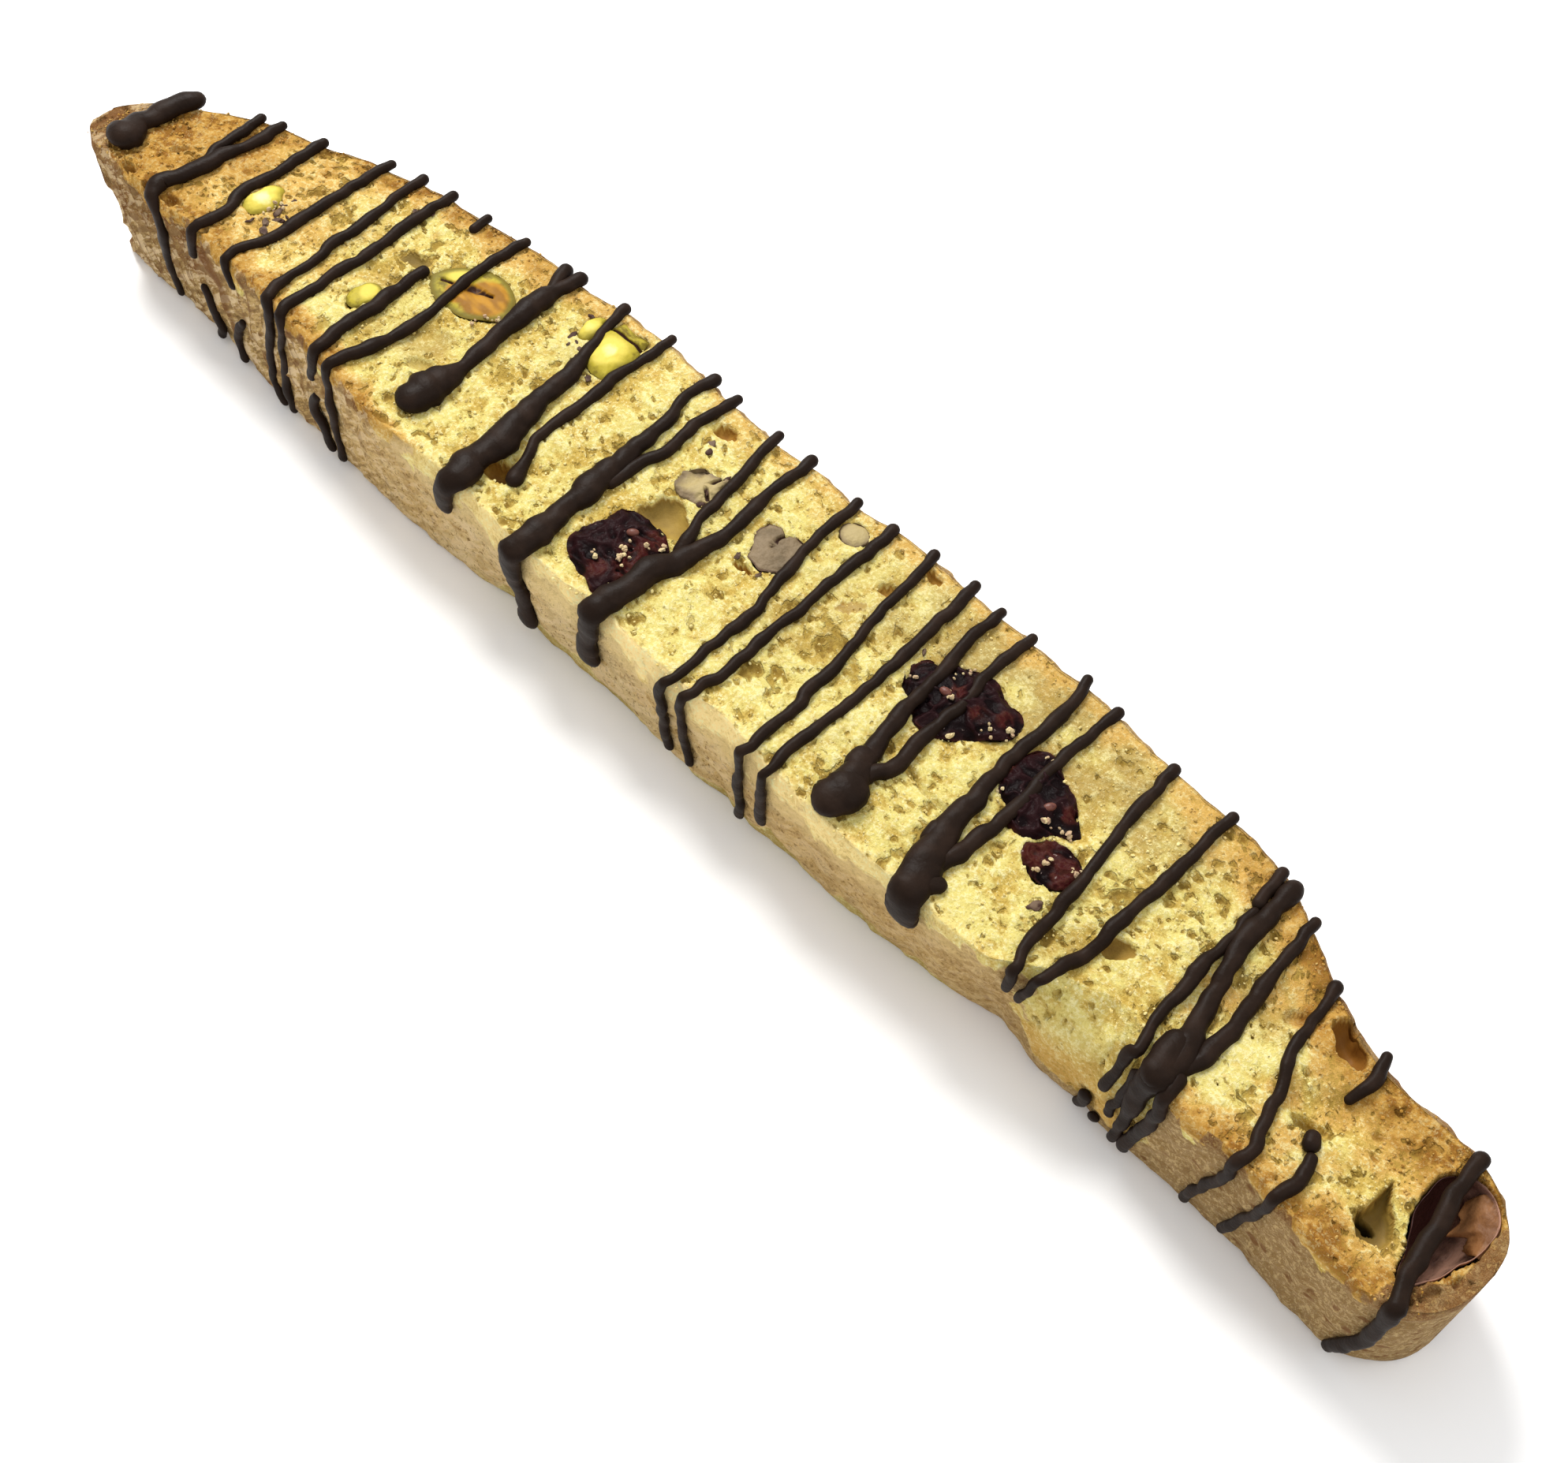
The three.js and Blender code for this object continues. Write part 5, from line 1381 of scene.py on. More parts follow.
def make_drizzle(settings):
    """Chocolate threads that cross the cut face and run down the flat crust."""
    parts = [strand_mesh(s, settings.wiggle, settings.lumps, i) for i, s in enumerate(STRANDS)]
    points, faces = joined(parts)
    points[:, 2] = np.maximum(points[:, 2], 0.02)
    return make_piece("chocolate_drizzle", points, faces, chocolate_material(settings), "chocolate")


def chocolate_material(settings):
    """Dark chocolate, a little dull in clouds."""
    paint = Paint("chocolate")
    place = paint.place()
    cloud = paint.noise(place, 2.5, 3)
    fine = paint.noise(place, 0.4, 3)
    colour = paint.blend(settings.dark, settings.worn, cloud.ramp(0.4, 0.7))
    return paint.finish(colour, 0.36 + 0.2 * cloud, 0.06, paint.bump(fine + 0.8 * cloud, 0.07, 0.6))


# ---------------------------------------------------------------- filling


def patches(x, y, spots):
    """1 in the middle of each spot (X, Y, reach), fading to 0 at its reach."""
    total = np.zeros(x.shape)
    for spot_x, spot_y, reach in spots:
        total = np.maximum(total, 1 - ramp(np.hypot(x - spot_x, y - spot_y), 0, reach))
    return total


def cut_lump(item, seed, square, ragged):
    """A piece of filling that the knife has cut at the face, as rings of points and marks.

    The marks are rim, 0 in the middle and 1 at the edge of the cut, groove, 1 in its cracks and holes, pale
    and brown, how far its patches reach, and skin, how much of its skin shows round the cut.
    """
    middle = np.mean(item["outline"], axis=0)
    fall = np.linspace(0, math.pi, LUMP_RINGS + 2)[1:-1, None]
    angle = np.linspace(math.pi, -math.pi, LUMP_SPOKES, endpoint=False)[None]
    share = np.sin(fall) ** square
    reach = share * edge_radius(item["outline"], angle, item.get("straight", False))
    x = middle[0] + reach * np.cos(angle)
    y = middle[1] + reach * np.sin(angle)
    upper = np.broadcast_to(fall < math.pi / 2, x.shape)
    z = np.where(upper, item["crown"] * (1 - share**4), -item["depth"] * (1 - share**3))
    groove = patches(x, y, item.get("holes", ()))
    for line in item.get("cracks", ()):
        groove = np.maximum(groove, 1 - ramp(near_line(x, y, line), 0.06, 0.3))
    points = np.stack([x, y, z], axis=-1)
    out = np.stack([share * np.cos(angle), share * np.sin(angle), np.where(upper, 1, -1)], axis=-1)
    points += out * (ragged * octaves(points, 1.6, seed, 4)[..., None])
    points[..., 2] += face_height(*middle) - LUMP_SINK - GROOVE_DEPTH * groove * upper
    marks = {
        "rim": np.broadcast_to(share, x.shape), "groove": groove * upper,
        "pale": patches(x, y, item.get("pale", ())), "brown": patches(x, y, item.get("brown", ())),
        "skin": np.full(x.shape, item.get("skin", 1.0)),
    }
    return points, marks


def finish_lump(name, item, rings, marks, material, slot):
    """Closes a lump and puts it in the place of its item's node."""
    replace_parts(make_piece(name, *closed(rings), material, slot, with_ends(marks)), item["node"])


def make_pistachios(settings):
    """Cut pistachios, green inside, one browned by the oven."""
    material = pistachio_material(settings)
    for i, item in enumerate(PISTACHIOS):
        rings, marks = cut_lump(item, 100 + i, 0.55, item.get("ragged", LUMP_RAGGED))
        name = item["node"] + "_flesh" + item.get("part", "")
        finish_lump(name, item, rings, marks, material, "pistachio")


def pistachio_material(settings):
    """Green flesh, paler in the middle with a painted highlight, olive rim, tan where baked, painted shade
    in cracks.
    """
    paint = Paint("pistachio")
    rim, groove, pale, brown, skin = paint.marks("rim groove pale brown skin")
    cloud = paint.noise(paint.place(), 1.2, 4, 0.6)
    fine = paint.noise(paint.place(), 0.35, 3, 0.6)
    bands = paint.noise(paint.place((2.2, 0.9, 1)), 1.1, 1, 0.5)
    colour = paint.coats(
        settings.green,
        (settings.moss, (cloud - 0.25 * pale).ramp(0.42, 0.66)),
        # Pale patches: paler flesh, and a painted highlight where the light falls brightest.
        (settings.pale_green, (pale + 0.8 * (cloud - 0.5)).ramp(0.15, 0.65)),
        # Painted highlight on the palest middle, where little skin shows.
        (settings.highlight_cream, (pale + 0.5 * (cloud - 0.5)).ramp(0.75, 1.0) * skin.ramp(0.35, 0.2) * 0.9),
        (
            paint.blend(settings.baked_flesh, settings.pale_flesh, bands.ramp(0.36, 0.62)),
            (brown + 0.25 * (cloud - 0.5)).ramp(0.12, 0.4),
        ),
        (settings.olive_rim, (rim + 0.12 * (cloud - 0.5)).ramp(0.74, 0.92) * skin),
        (settings.moss, rim.ramp(0.88, 0.97) * skin),
        # Cracks and holes take the dark skin colour as painted shade.
        (settings.skin, groove.ramp(0.1, 0.55)),
    )
    return paint.finish(colour, 0.42 + 0.2 * fine, 0.1, paint.bump(0.7 * cloud + 0.3 * fine, 0.1, 0.7))


def make_cranberries(settings):
    """Dried cranberries, dark and wrinkled, with their seeds."""
    material = cranberry_material(settings)
    for i, item in enumerate(CRANBERRIES):
        seed = 200 + 10 * i
        rings, marks = cut_lump(item, seed, 0.7, FRUIT_RAGGED)
        torn = rings + 0.6 * np.stack([bumps(rings, 1.5, seed + 1 + axis) for axis in range(3)], axis=-1)
        ridge = 0.6 * folds(torn, (2.4, 1.4, 2), seed + 5) + 0.4 * folds(torn, 0.9, seed + 6)
        rings[..., 2] += 0.6 * ridge - 0.3
        marks["ridge"] = ridge
        finish_lump(item["node"] + "_fruit", item, rings, marks, material, "dried_cranberry")
    unit, faces = ball(3)
    seeds = []
    for item in CRANBERRIES:
        for x, y, turn in item.get("seeds", ()):
            spin = np.array(Matrix.Rotation(math.radians(turn), 3, "Z"))
            drop = unit * settings.seed_size * (1 + 0.3 * unit[:, :1]) @ spin.T
            seeds.append((drop + (x, y, surface_height(x, y) + 0.1), faces))
    make_piece("cranberry_seeds", *joined(seeds), seed_material(settings), "dried_cranberry")


def cranberry_material(settings):
    """Purple skin that is red where light comes through, painted shade nearly black in its creases, with
    sugar.
    """
    paint = Paint("dried_cranberry")
    rim, groove, ridge, brown = paint.marks("rim groove ridge brown")
    place = paint.place()
    cloud = paint.noise(place, 1.8, 4, 0.65)
    fine = paint.noise(place, 0.4, 3, 0.6)
    sugar = paint.noise(place, 0.5, 2, 0.5)
    red = (brown + 0.7 * (cloud - 0.5) + 0.3 * (ridge - 0.5)).ramp(0.15, 0.8)
    colour = paint.coats(
        settings.dark_red,
        # Lighter purple on the raised ridges, partly painted light of the folds.
        (settings.purple, (0.6 * cloud + 0.4 * ridge).ramp(0.3, 0.6)),
        (paint.blend(settings.bright_red, settings.red_brown, fine.ramp(0.4, 0.6)), red * 0.9),
        (settings.red_brown, rim.ramp(0.9, 1.0) * cloud.ramp(0.42, 0.6) * 0.6),
        # Painted shade: nearly black in the creases between the ridges and in the holes.
        (settings.dark_red, (ridge.ramp(0.3, 0.1) * 0.7).largest(groove.ramp(0.1, 0.7))),
        (settings.sugar, sugar.ramp(0.71, 0.77) * 0.7),
    )
    return paint.finish(colour, 0.26 + 0.34 * fine, 0.05, paint.bump(0.8 * cloud + 0.5 * fine, 0.24, 0.9))


def seed_material(settings):
    """Brown seeds with some red of the fruit."""
    paint = Paint("cranberry_seed")
    fine = paint.noise(paint.place(), 0.4, 3, 0.6)
    colour = paint.blend(settings.seed_colour, settings.bright_red, fine.ramp(0.5, 0.75) * 0.6)
    return paint.finish(colour, 0.35 + 0.15 * fine, 0.3, paint.bump(fine, 0.05))


def make_nuts(settings):
    """Cut pieces of pale nut with a thin brown skin."""
    material = nut_material(settings)
    for i, item in enumerate(NUTS):
        rings, marks = cut_lump(item, 300 + 10 * i, 0.5, item.get("ragged", LUMP_RAGGED))
        finish_lump(item["node"] + "_kernel", item, rings, marks, material, "nut")


def nut_material(settings):
    """Grey tan kernels with a brown edge, and painted shade in their cracks."""
    paint = Paint("nut")
    rim, groove, pale, skin = paint.marks("rim groove pale skin")
    cloud = paint.noise(paint.place(), 1.4, 4, 0.6)
    fine = paint.noise(paint.place(), 0.35, 3, 0.6)
    colour = paint.coats(
        settings.kernel,
        (settings.dark_kernel, cloud.ramp(0.4, 0.7)),
        (settings.pale_kernel, (pale + 0.8 * (cloud - 0.5)).ramp(0.1, 0.7)),
        (settings.nut_edge, (rim + 0.1 * (cloud - 0.5)).ramp(0.91, 0.965) * skin),
        # Cracks take the dark skin colour as painted shade.
        (settings.skin, groove.ramp(0.2, 0.8)),
    )
    return paint.finish(colour, 0.5 + 0.15 * fine, 0.2, paint.bump(0.8 * cloud + 0.5 * fine, 0.16, 0.8))


def surface_height(x, y):
    """Z of the cut face or of the filling that shows at a place."""
    depth, _, _ = hollows_at(np.array([float(x)]), np.array([float(y)]))
    for item in FILLING:
        inside = distance_in(x, y, item)
        if inside < 1:
            middle = np.mean(item["outline"], axis=0)
            return face_height(*middle) - LUMP_SINK + item["crown"] * (1 - inside**4)
    return face_height(x, y) - depth[0]


def make_clinging_crumbs(settings):
    """Pale crumbs that the knife left on the fruit."""
    rng = np.random.default_rng(settings.seed + 1)
    unit, faces = ball(2)
    parts = []
    for x, y in CLINGING:
        for _ in range(rng.integers(2, 5)):
            px, py = rng.normal((x, y), 0.3)
            crumb = uneven_grain(unit, rng.uniform(0.1, 0.3), rng)
            parts.append((crumb + (px, py, surface_height(px, py) + 0.12), faces))
    marks = {"shade": np.repeat(rng.uniform(0, 1, len(parts)), len(unit))}
    material = stuck_crumb_material(settings)
    make_piece("clinging_crumbs", *joined(parts), material, "baked_crumb", marks, smooth=False)


def stuck_crumb_material(settings):
    """Crumb that the fruit has darkened."""
    paint = Paint("clinging_crumbs")
    shade = paint.mark("shade")
    colour = paint.blend(settings.stuck_crumb, settings.light_grain, 0.5 * shade)
    return paint.finish(colour, 0.85 + 0.05 * shade, 0.1)


def make_skin_flakes(settings):
    """Dark flakes round the nuts, partly skin and partly painted shade beside them."""
    rng = np.random.default_rng(settings.flake_seed)
    unit, faces = ball(3)
    parts = []
    for x, y, length in SKIN_FLAKES_AND_SHADE:
        spin = np.array(Matrix.Rotation(rng.uniform(0, 2 * math.pi), 3, "Z"))
        shape = unit * (length / 2, length * rng.uniform(0.2, 0.35), 0.12)
        shape = shape * (1 + 0.5 * bumps(unit + 10 * len(parts), 0.7, 501))[:, None]
        shape[:, 2] += 0.1 * bumps(shape, 0.6, 502)
        parts.append((shape @ spin.T + (x, y, surface_height(x, y) + 0.05), faces))
    make_piece("skin_flakes_and_shade", *joined(parts), flake_material(settings), "nut_skin")


def flake_material(settings):
    """Dark skin with paler clouds, on flakes that are partly painted shade."""
    paint = Paint("skin_flakes_and_shade")
    cloud = paint.noise(paint.place(), 1.2, 3, 0.6)
    colour = paint.blend(settings.skin, settings.flake_mauve, cloud.ramp(0.4, 0.65))
    return paint.finish(colour, 0.6 + 0.1 * cloud, 0.2, paint.bump(cloud, 0.1))


def pocket_lining(middle):
    """Points and faces of the skin on the walls and bottom of the pocket."""
    share = 1 - (1 - np.linspace(0.02, 0.985, SKIN_RINGS)[:, None]) ** 1.6
    angle = np.linspace(math.pi, -math.pi, LUMP_SPOKES, endpoint=False)[None]
    reach = share * (edge_radius(POCKET["outline"], angle) - SKIN_INSET)
    x, y = middle[0] + reach * np.cos(angle), middle[1] + reach * np.sin(angle)
    z = face_height(x, y) - POCKET["depth"] * bowl(share) + SKIN_INSET
    upper = np.stack([x, y, z], axis=-1)
    torn = 0.25 * ramp(share, 0.9, 1) * (1 + bumps(upper, 1.1, 404))
    upper[..., 2] += 0.2 * octaves(upper, 1.6, 401, 3) - torn
    lower = upper[::-1] - (0, 0, SKIN_THICKNESS)
    lower[..., :2] = middle + (lower[..., :2] - middle) * (1 + 0.02 * share[::-1, :, None])
    return closed(np.concatenate([upper, lower]))


def torn_flake():
    """Points and faces of the flake that hangs from the rim of the pocket."""
    rows, columns = FLAKE_CELLS
    held, torn = (smooth_route(line, rows) for line in (FLAKE_HELD, FLAKE_TORN))
    across = np.linspace(0, 1, columns)[None, :, None]
    grid = mix(held[:, None], torn[:, None], across * (1 + 0.22 * bumps(held, 0.7, 402)[:, None, None]))
    grid[..., 2] += 0.5 * hump(across[..., 0], 0, 1) + 0.12 * octaves(grid, 1.2, 403, 3)
    return sheet_mesh(grid, SKIN_THICKNESS)


def make_nut_skin(settings):
    """The papery skin that a lost nut left in its pocket, and the flake that hangs from the rim."""
    material = skin_material(settings)
    middle = np.mean(POCKET["outline"], axis=0)
    points, faces = pocket_lining(middle)
    marks = {"along": points[:, 0] - middle[0], "papery": np.zeros(len(points))}
    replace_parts(make_piece("nut_skin_lining", points, faces, material, "nut_skin", marks), "nut_skin")
    points, faces = torn_flake()
    marks = {"along": np.zeros(len(points)), "papery": np.ones(len(points))}
    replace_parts(make_piece("nut_skin_flake", points, faces, material, "nut_skin", marks), "nut_skin")


def skin_material(settings):
    """Skin in the pocket, lighter towards the blunt end, and browner paper where it is torn."""
    paint = Paint("nut_skin")
    along, papery = paint.marks("along papery")
    cloud = paint.noise(paint.place(), 1.6, 4, 0.6)
    veins = paint.noise(paint.place((0.5, 2, 1)), 0.6, 3, 0.6)
    colour = paint.coats(
        settings.pocket_shade,
        (settings.pocket_mauve, (0.3 * along + cloud).ramp(0.1, 1.1)),
        (settings.skin, veins.ramp(0.56, 0.7) * 0.5),
        (paint.blend(settings.paper, settings.paper_brown, cloud.ramp(0.4, 0.62)), papery),
    )
    return paint.finish(colour, 0.42 + 0.2 * cloud, 0.25, paint.bump(cloud + 0.5 * veins, 0.2, 0.7))


# ---------------------------------------------------------------- floor, light and camera


def make_floor(settings):
    """A white floor for the slice to lie on."""
    mesh = bpy.data.meshes.new("floor")
    reach = settings.floor_size / 2
    corners = [(-reach, -reach, 0), (reach, -reach, 0), (reach, reach, 0), (-reach, reach, 0)]
    mesh.from_pydata(corners, [], [(0, 1, 2, 3)])
    mesh.materials.append(Paint("floor").finish(settings.floor_colour, 0.9, 0.1))
    floor = bpy.data.objects.new("floor", mesh)
    bpy.context.scene.collection.objects.link(floor)


def make_lamp(name, lamp, power):
    """A round soft lamp that points at the slice."""
    place, size, tint = lamp
    light = bpy.data.lights.new(name, "AREA")
    light.shape = "DISK"
    light.size = size
    light.energy = power
    light.color = tint
    made = bpy.data.objects.new(name, light)
    made.location = place
    made.rotation_euler = (-Vector(place)).to_track_quat("-Z", "Y").to_euler()
    bpy.context.scene.collection.objects.link(made)


def make_room(settings):
    """Even white light from all round, and colours shown as they are."""
    world = bpy.data.worlds.new("studio")
    world.use_nodes = True
    background = world.node_tree.nodes["Background"]
    background.inputs["Color"].default_value = (1, 1, 1, 1)
    background.inputs["Strength"].default_value = settings.room_light
    bpy.context.scene.world = world
    bpy.context.scene.view_settings.view_transform = "Standard"


def make_camera(settings):
    """The camera, high up in front of the flat crust and a little past the blunt end."""
    camera = bpy.data.cameras.new("camera")
    camera.sensor_width = SENSOR_WIDTH
    camera.lens = settings.lens
    camera.clip_start = 0.01
    viewer = bpy.data.objects.new("camera", camera)
    right = Vector(CAMERA_RIGHT).normalized()
    back = -Vector(CAMERA_ALONG).normalized()
    facing = Matrix((right, back.cross(right), back)).transposed().to_4x4()
    viewer.matrix_world = Matrix.Translation(to_frame(CAMERA_PLACE)) @ facing
    bpy.context.scene.collection.objects.link(viewer)
    bpy.context.scene.camera = viewer


def make_stage(settings):
    """The floor, the light and the camera."""
    make_floor(settings)
    make_lamp("key_light", KEY_LIGHT, settings.key_power)
    make_lamp("fill_light", FILL_LIGHT, settings.fill_power)
    make_room(settings)
    make_camera(settings)


# ---------------------------------------------------------------- settings


def colour_setting(name, description, red, green, blue):
    """A colour of the panel, from its screen values."""
    default = linear(red, green, blue)
    return FloatVectorProperty(
        name=name, description=description, subtype="COLOR", size=3, min=0, max=1, default=default
    )


def number(name, description, default, **limits):
    """A plain number of the panel, with its limits and unit."""
    return FloatProperty(name=name, description=description, default=default, **limits)


class CrumbSettings(bpy.types.PropertyGroup):
    """Pores, grains and colours of the crumb and its crust"""

    pore_share: number("Pores", "About how much of the face each size of pore opens", 0.075, max=0.5)
    pore_depth: number("Pore depth", "Depth in millimetres", 0.42, min=0)
    grain_count: IntProperty(name="Grains", description="Crumbs that stand out", default=6000, min=1)
    grain_size: number("Largest grain", "Radius in millimetres", 0.2, min=0.1)
    graininess: number("Graininess", "Strength of the fine relief", 0.9)
    seed: IntProperty(name="Seed", description="Another seed moves pores and crumbs", default=7)
    pale: colour_setting("Pale crumb", "Crumb where it is least baked", 215, 200, 118)
    golden: colour_setting("Golden crumb", "Crumb where it is a little baked", 196, 166, 82)
    light_grain: colour_setting("Light grain", "Palest grains", 230, 219, 160)
    peach: colour_setting("Peach crumb", "Crumb that is barely toasted", 205, 163, 86)
    # Dull crumb is partly painted shade: in the dips, at the broken foot and low in the chip.
    dull: colour_setting("Dull crumb", "Moist tan crumb", 168, 142, 82)
    # Worn crumb is the rubbed rim, painted lighter as a painted highlight.
    rubbed_and_highlit_crumb: colour_setting("Worn crumb", "Rubbed rim of the flat crust", 236, 208, 142)
    stuck_crumb: colour_setting("Clinging crumb", "Crumbs on the fruit", 176, 146, 118)
    # Deep crumb and pin holes are painted shade in the pores, hollows and low places of the crumb.
    deep: colour_setting("Deep crumb", "Inside the pores", 164, 136, 60)
    painted_pore_shade: colour_setting("Pin holes", "Deepest in the pores", 124, 96, 38)
    toasted: colour_setting("Toasted crumb", "Crumb beside the crust and at the tip", 172, 125, 52)
    browned: colour_setting("Browned crumb", "Crumb that the oven has browned", 134, 88, 32)
    crust: colour_setting("Crust", "Flat crust", 198, 163, 102)
    light_crust: colour_setting("Light crust", "Palest streaks of the crust", 214, 189, 138)
    brown_crust: colour_setting("Brown crust", "Crust that is baked longest", 134, 104, 66)
    baked_crust: colour_setting("Baked crust", "Crust round both ends", 112, 69, 31)
    light_flake: colour_setting("Light flake", "Raised flakes of the crust", 226, 200, 156)
    dust: colour_setting("Dusty crust", "Pale grains on the crust", 206, 176, 120)
    scorch: colour_setting("Scorched crust", "Dark specks of the crust", 112, 82, 44)
    lining_tan: colour_setting("Hollow", "Smooth skin inside the hollows", 166, 128, 54)
    lining_brown: colour_setting("Brown hollow", "Browned skin inside the hollows", 140, 98, 34)
    lining_olive: colour_setting("Olive hollow", "Skin inside hollows beside the nuts", 156, 130, 62)
    lining_moss: colour_setting("Dark olive hollow", "Darkest skin beside the nuts", 112, 92, 44)
    # Deepest hollow is painted shade at the bottom of the deepest hollows.
    deepest: colour_setting("Deepest hollow", "Bottom of the deepest hollows", 56, 46, 24)
    amber: colour_setting("Amber hollow", "Glazed skin of the hollow at the domed crust", 132, 88, 34)


class DrizzleSettings(bpy.types.PropertyGroup):
    """Form and colours of the chocolate"""

    wiggle: number("Wiggle", "Side to side wander in millimetres", 0.28)
    lumps: number("Lumps", "How much the width varies", 0.17)
    dark: colour_setting("Chocolate", "Chocolate", 30, 20, 14)
    worn: colour_setting("Dull chocolate", "Chocolate where it is dull", 40, 28, 21)


class FillingSettings(bpy.types.PropertyGroup):
    """Colours of the fruit, the nuts and their skin"""

    green: colour_setting("Pistachio", "Green of the pistachios", 172, 156, 50)
    olive_rim: colour_setting("Olive rim", "Skin side of a cut pistachio", 112, 102, 40)
    moss: colour_setting("Dark pistachio", "Darkest green of the pistachios", 112, 96, 30)
    pale_green: colour_setting("Pale pistachio", "Palest green of the pistachios", 206, 188, 80)
    # Cream is a painted highlight on the pale middle of a pistachio.
    highlight_cream: colour_setting("Cream", "Creamy middle of a pistachio", 232, 226, 156)
    baked_flesh: colour_setting("Baked flesh", "Flesh of the browned pistachio", 136, 92, 20)
    pale_flesh: colour_setting("Pale baked flesh", "Palest flesh of the browned pistachio", 172, 122, 28)
    # Skin also paints shade: in the cracks and holes of the pistachios and nuts, and as part of the dark
    # flakes.
    skin: colour_setting("Skin", "Papery skin of the nuts", 60, 36, 26)
    flake_mauve: colour_setting("Mauve skin", "Palest flakes of the skin", 104, 84, 66)
    # Dark cranberry also paints the shade in the creases and holes, and purple the light on the ridges.
    dark_red: colour_setting("Dark cranberry", "Creases of a cranberry", 14, 5, 6)
    purple: colour_setting("Purple cranberry", "Cranberry where it is thick", 34, 14, 16)
    bright_red: colour_setting("Red cranberry", "Cranberry where light comes through", 60, 17, 16)
    red_brown: colour_setting("Red brown cranberry", "Dried edge of a cranberry", 70, 34, 26)
    sugar: colour_setting("Sugar", "Crystals on the fruit", 140, 122, 116)
    seed_colour: colour_setting("Seed", "Seed of a cranberry", 98, 54, 42)
    seed_size: FloatVectorProperty(
        name="Seed size", description="Radii in millimetres", default=(0.62, 0.4, 0.3)
    )
    kernel: colour_setting("Kernel", "Inside of the nuts", 124, 106, 80)
    dark_kernel: colour_setting("Dark kernel", "Darkest inside of the nuts", 100, 84, 60)
    pale_kernel: colour_setting("Pale kernel", "Palest inside of the nuts", 164, 146, 100)
    nut_edge: colour_setting("Nut edge", "Thin skin round the cut of a nut", 66, 38, 25)
    pocket_shade: colour_setting("Pocket", "Skin in the depth of the pocket", 62, 32, 28)
    pocket_mauve: colour_setting("Light pocket", "Skin where light reaches the pocket", 178, 134, 112)
    paper: colour_setting("Papery skin", "Flake at the rim of the pocket", 136, 92, 54)
    paper_brown: colour_setting("Browned papery skin", "Browned part of the flake", 108, 68, 34)
    flake_seed: IntProperty(name="Flake seed", description="Another seed turns the flakes", default=3)


class StageSettings(bpy.types.PropertyGroup):
    """Floor, light and camera"""

    floor_size: number("Floor", "Side of the floor", 6.0, unit="LENGTH")
    floor_colour: colour_setting("Floor colour", "Colour of the floor", 253, 253, 253)
    key_power: number("Key light", "Light from beyond the pointed end", 8.0, unit="POWER")
    fill_power: number("Fill light", "Light from above the blunt end", 1.0, unit="POWER")
    room_light: number("Room light", "Even light from all round", 0.82)
    lens: number("Lens", "Focal length", 52.732, unit="CAMERA")


SETTINGS = {
    "biscotti_crumb": CrumbSettings,
    "biscotti_drizzle": DrizzleSettings,
    "biscotti_filling": FillingSettings,
    "biscotti_stage": StageSettings,
}


# ---------------------------------------------------------------- operators and panel


class MakeCrumb(bpy.types.Operator):
    """Make the slice with its cut faces and crust"""

    bl_idname = "biscotti.crumb"
    bl_label = "Crumb and crust"

    def execute(self, context):
        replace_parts(make_crumb(context.scene.biscotti_crumb), "biscuit")
        return {"FINISHED"}


class MakeGrains(bpy.types.Operator):
    """Make the small crumbs that stand out of the cut face"""

    bl_idname = "biscotti.grains"
    bl_label = "Grains"

    def execute(self, context):
        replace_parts(make_grains(context.scene.biscotti_crumb), "biscuit")
        return {"FINISHED"}


class MakeDrizzle(bpy.types.Operator):
    """Make the chocolate threads over the face and crust"""

    bl_idname = "biscotti.drizzle"
    bl_label = "Chocolate drizzle"

    def execute(self, context):
        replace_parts(make_drizzle(context.scene.biscotti_drizzle), "biscuit")
        return {"FINISHED"}


class MakePistachios(bpy.types.Operator):
    """Make the cut pistachios"""

    bl_idname = "biscotti.pistachios"
    bl_label = "Pistachios"

    def execute(self, context):
        make_pistachios(context.scene.biscotti_filling)
        return {"FINISHED"}


class MakeCranberries(bpy.types.Operator):
    """Make the dried cranberries"""

    bl_idname = "biscotti.cranberries"
    bl_label = "Cranberries"

    def execute(self, context):
        make_cranberries(context.scene.biscotti_filling)
        return {"FINISHED"}


class MakeNuts(bpy.types.Operator):
    """Make the cut pieces of pale nut"""

    bl_idname = "biscotti.nuts"
    bl_label = "Nuts"

    def execute(self, context):
        make_nuts(context.scene.biscotti_filling)
        return {"FINISHED"}


class MakeClingingCrumbs(bpy.types.Operator):
    """Make the pale crumbs that cling to the fruit"""

    bl_idname = "biscotti.clinging_crumbs"
    bl_label = "Clinging crumbs"

    def execute(self, context):
        make_clinging_crumbs(context.scene.biscotti_crumb)
        return {"FINISHED"}


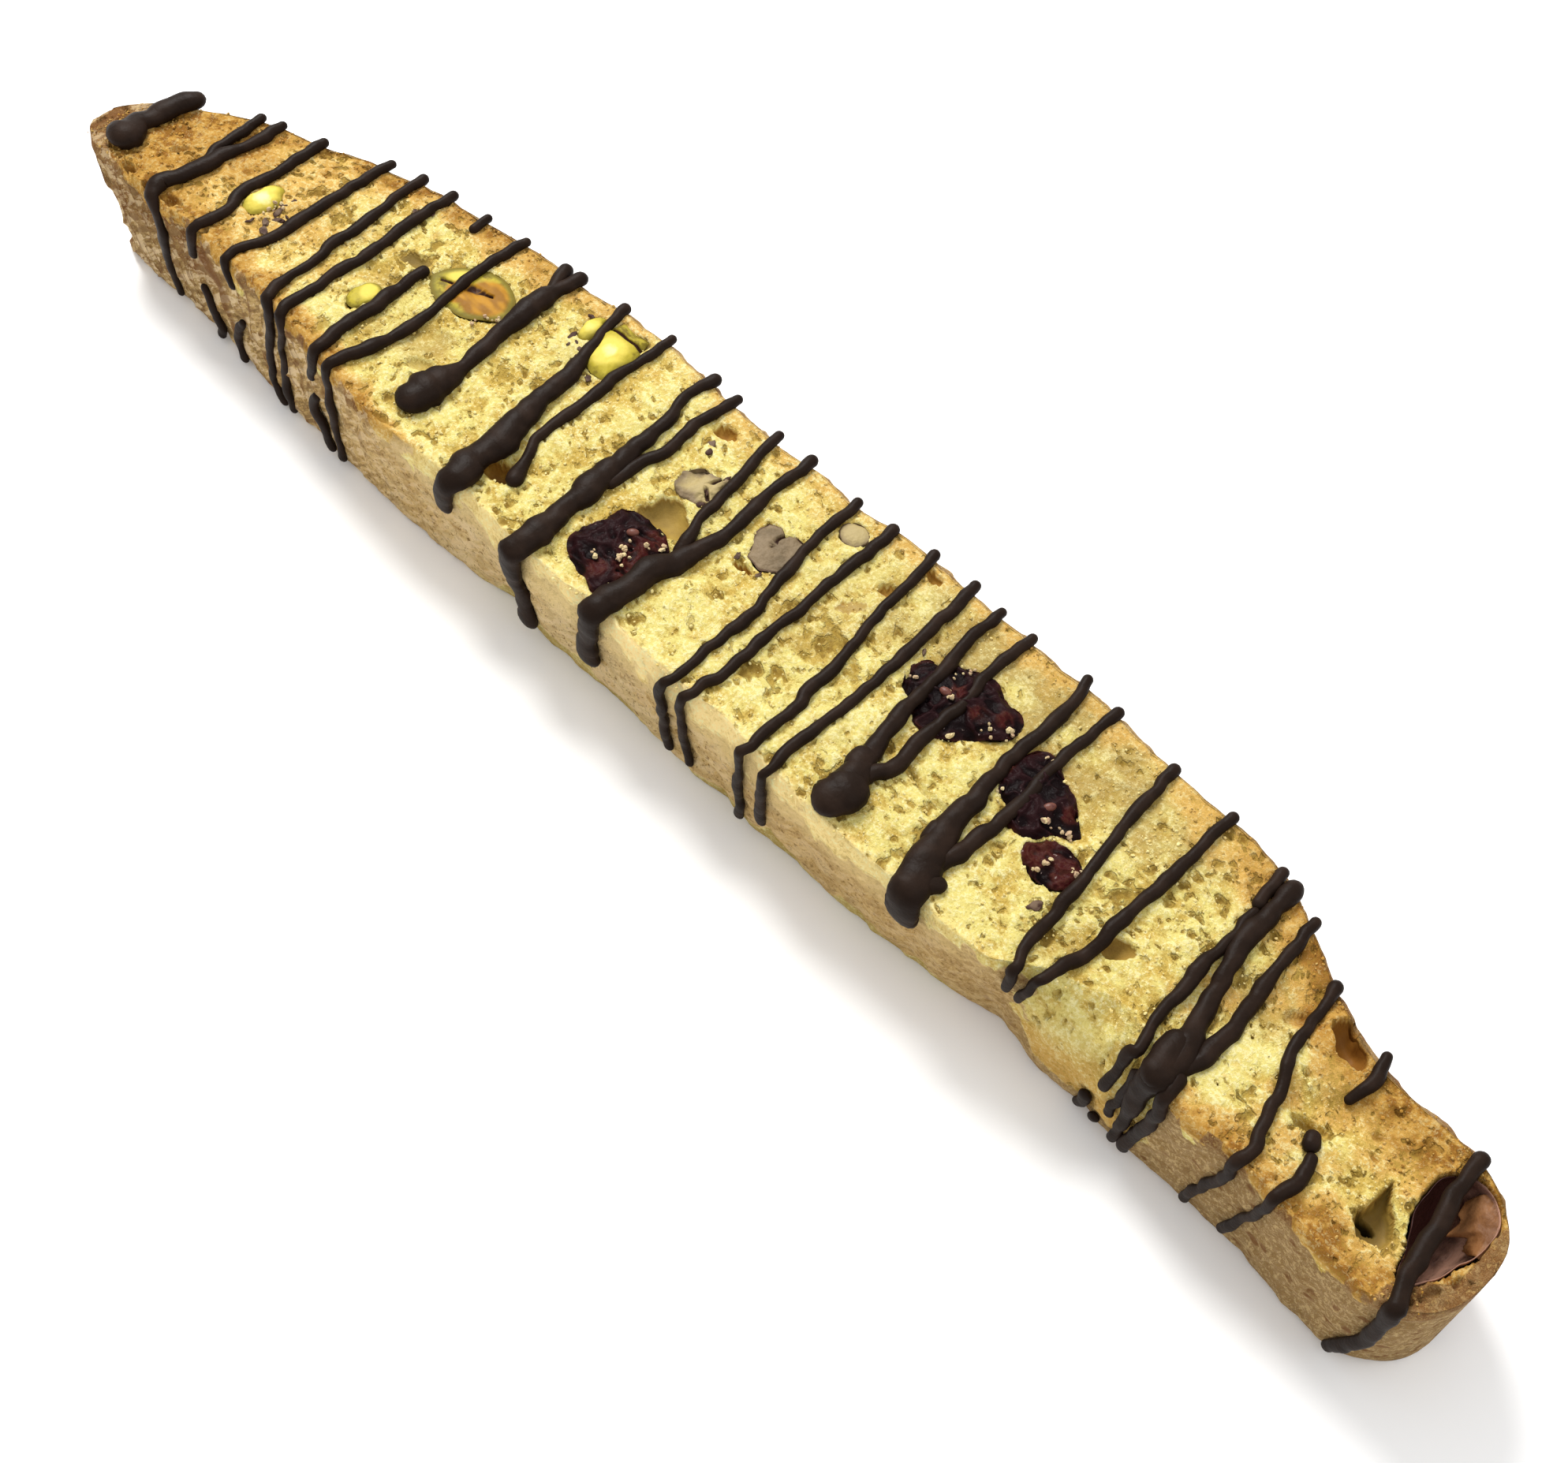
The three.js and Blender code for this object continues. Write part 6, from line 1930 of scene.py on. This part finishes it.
class MakeSkinFlakesAndShade(bpy.types.Operator):
    """Make the flakes round the nuts, partly dark skin and partly painted shade"""

    bl_idname = "biscotti.skin_flakes"
    bl_label = "Skin flakes"

    def execute(self, context):
        make_skin_flakes(context.scene.biscotti_filling)
        return {"FINISHED"}


class MakeNutSkin(bpy.types.Operator):
    """Make the papery skin in the pocket at the blunt end"""

    bl_idname = "biscotti.nut_skin"
    bl_label = "Nut skin"

    def execute(self, context):
        make_nut_skin(context.scene.biscotti_filling)
        return {"FINISHED"}


class MakeStage(bpy.types.Operator):
    """Make the floor, the lights and the camera"""

    bl_idname = "biscotti.stage"
    bl_label = "Stage"

    def execute(self, context):
        make_stage(context.scene.biscotti_stage)
        return {"FINISHED"}


OPERATORS = (
    MakeStage, MakeCrumb, MakeGrains, MakeDrizzle, MakePistachios, MakeCranberries, MakeNuts, MakeNutSkin,
    MakeClingingCrumbs, MakeSkinFlakesAndShade,
)


class BiscottiPanel(bpy.types.Panel):
    """The settings and the buttons that make each piece"""

    bl_idname = "VIEW3D_PT_biscotti"
    bl_label = "Biscotti"
    bl_space_type = "VIEW_3D"
    bl_region_type = "UI"
    bl_category = "Biscotti"

    def draw(self, context):
        for group in SETTINGS:
            box = self.layout.box()
            settings = getattr(context.scene, group)
            for name in SETTINGS[group].__annotations__:
                box.prop(settings, name)
        for operator in OPERATORS:
            self.layout.operator(operator.bl_idname)


CLASSES = (*SETTINGS.values(), *OPERATORS, BiscottiPanel)


def register():
    """Adds the settings, the operators and the panel."""
    for made in CLASSES:
        bpy.utils.register_class(made)
    for group, settings in SETTINGS.items():
        setattr(bpy.types.Scene, group, PointerProperty(type=settings))


def unregister():
    """Takes them away again."""
    for group in SETTINGS:
        delattr(bpy.types.Scene, group)
    for made in reversed(CLASSES):
        bpy.utils.unregister_class(made)


def main():
    """Makes every piece in order."""
    register()
    for operator in OPERATORS:
        group, name = operator.bl_idname.split(".")
        getattr(getattr(bpy.ops, group), name)()


if __name__ == "__main__":
    main()
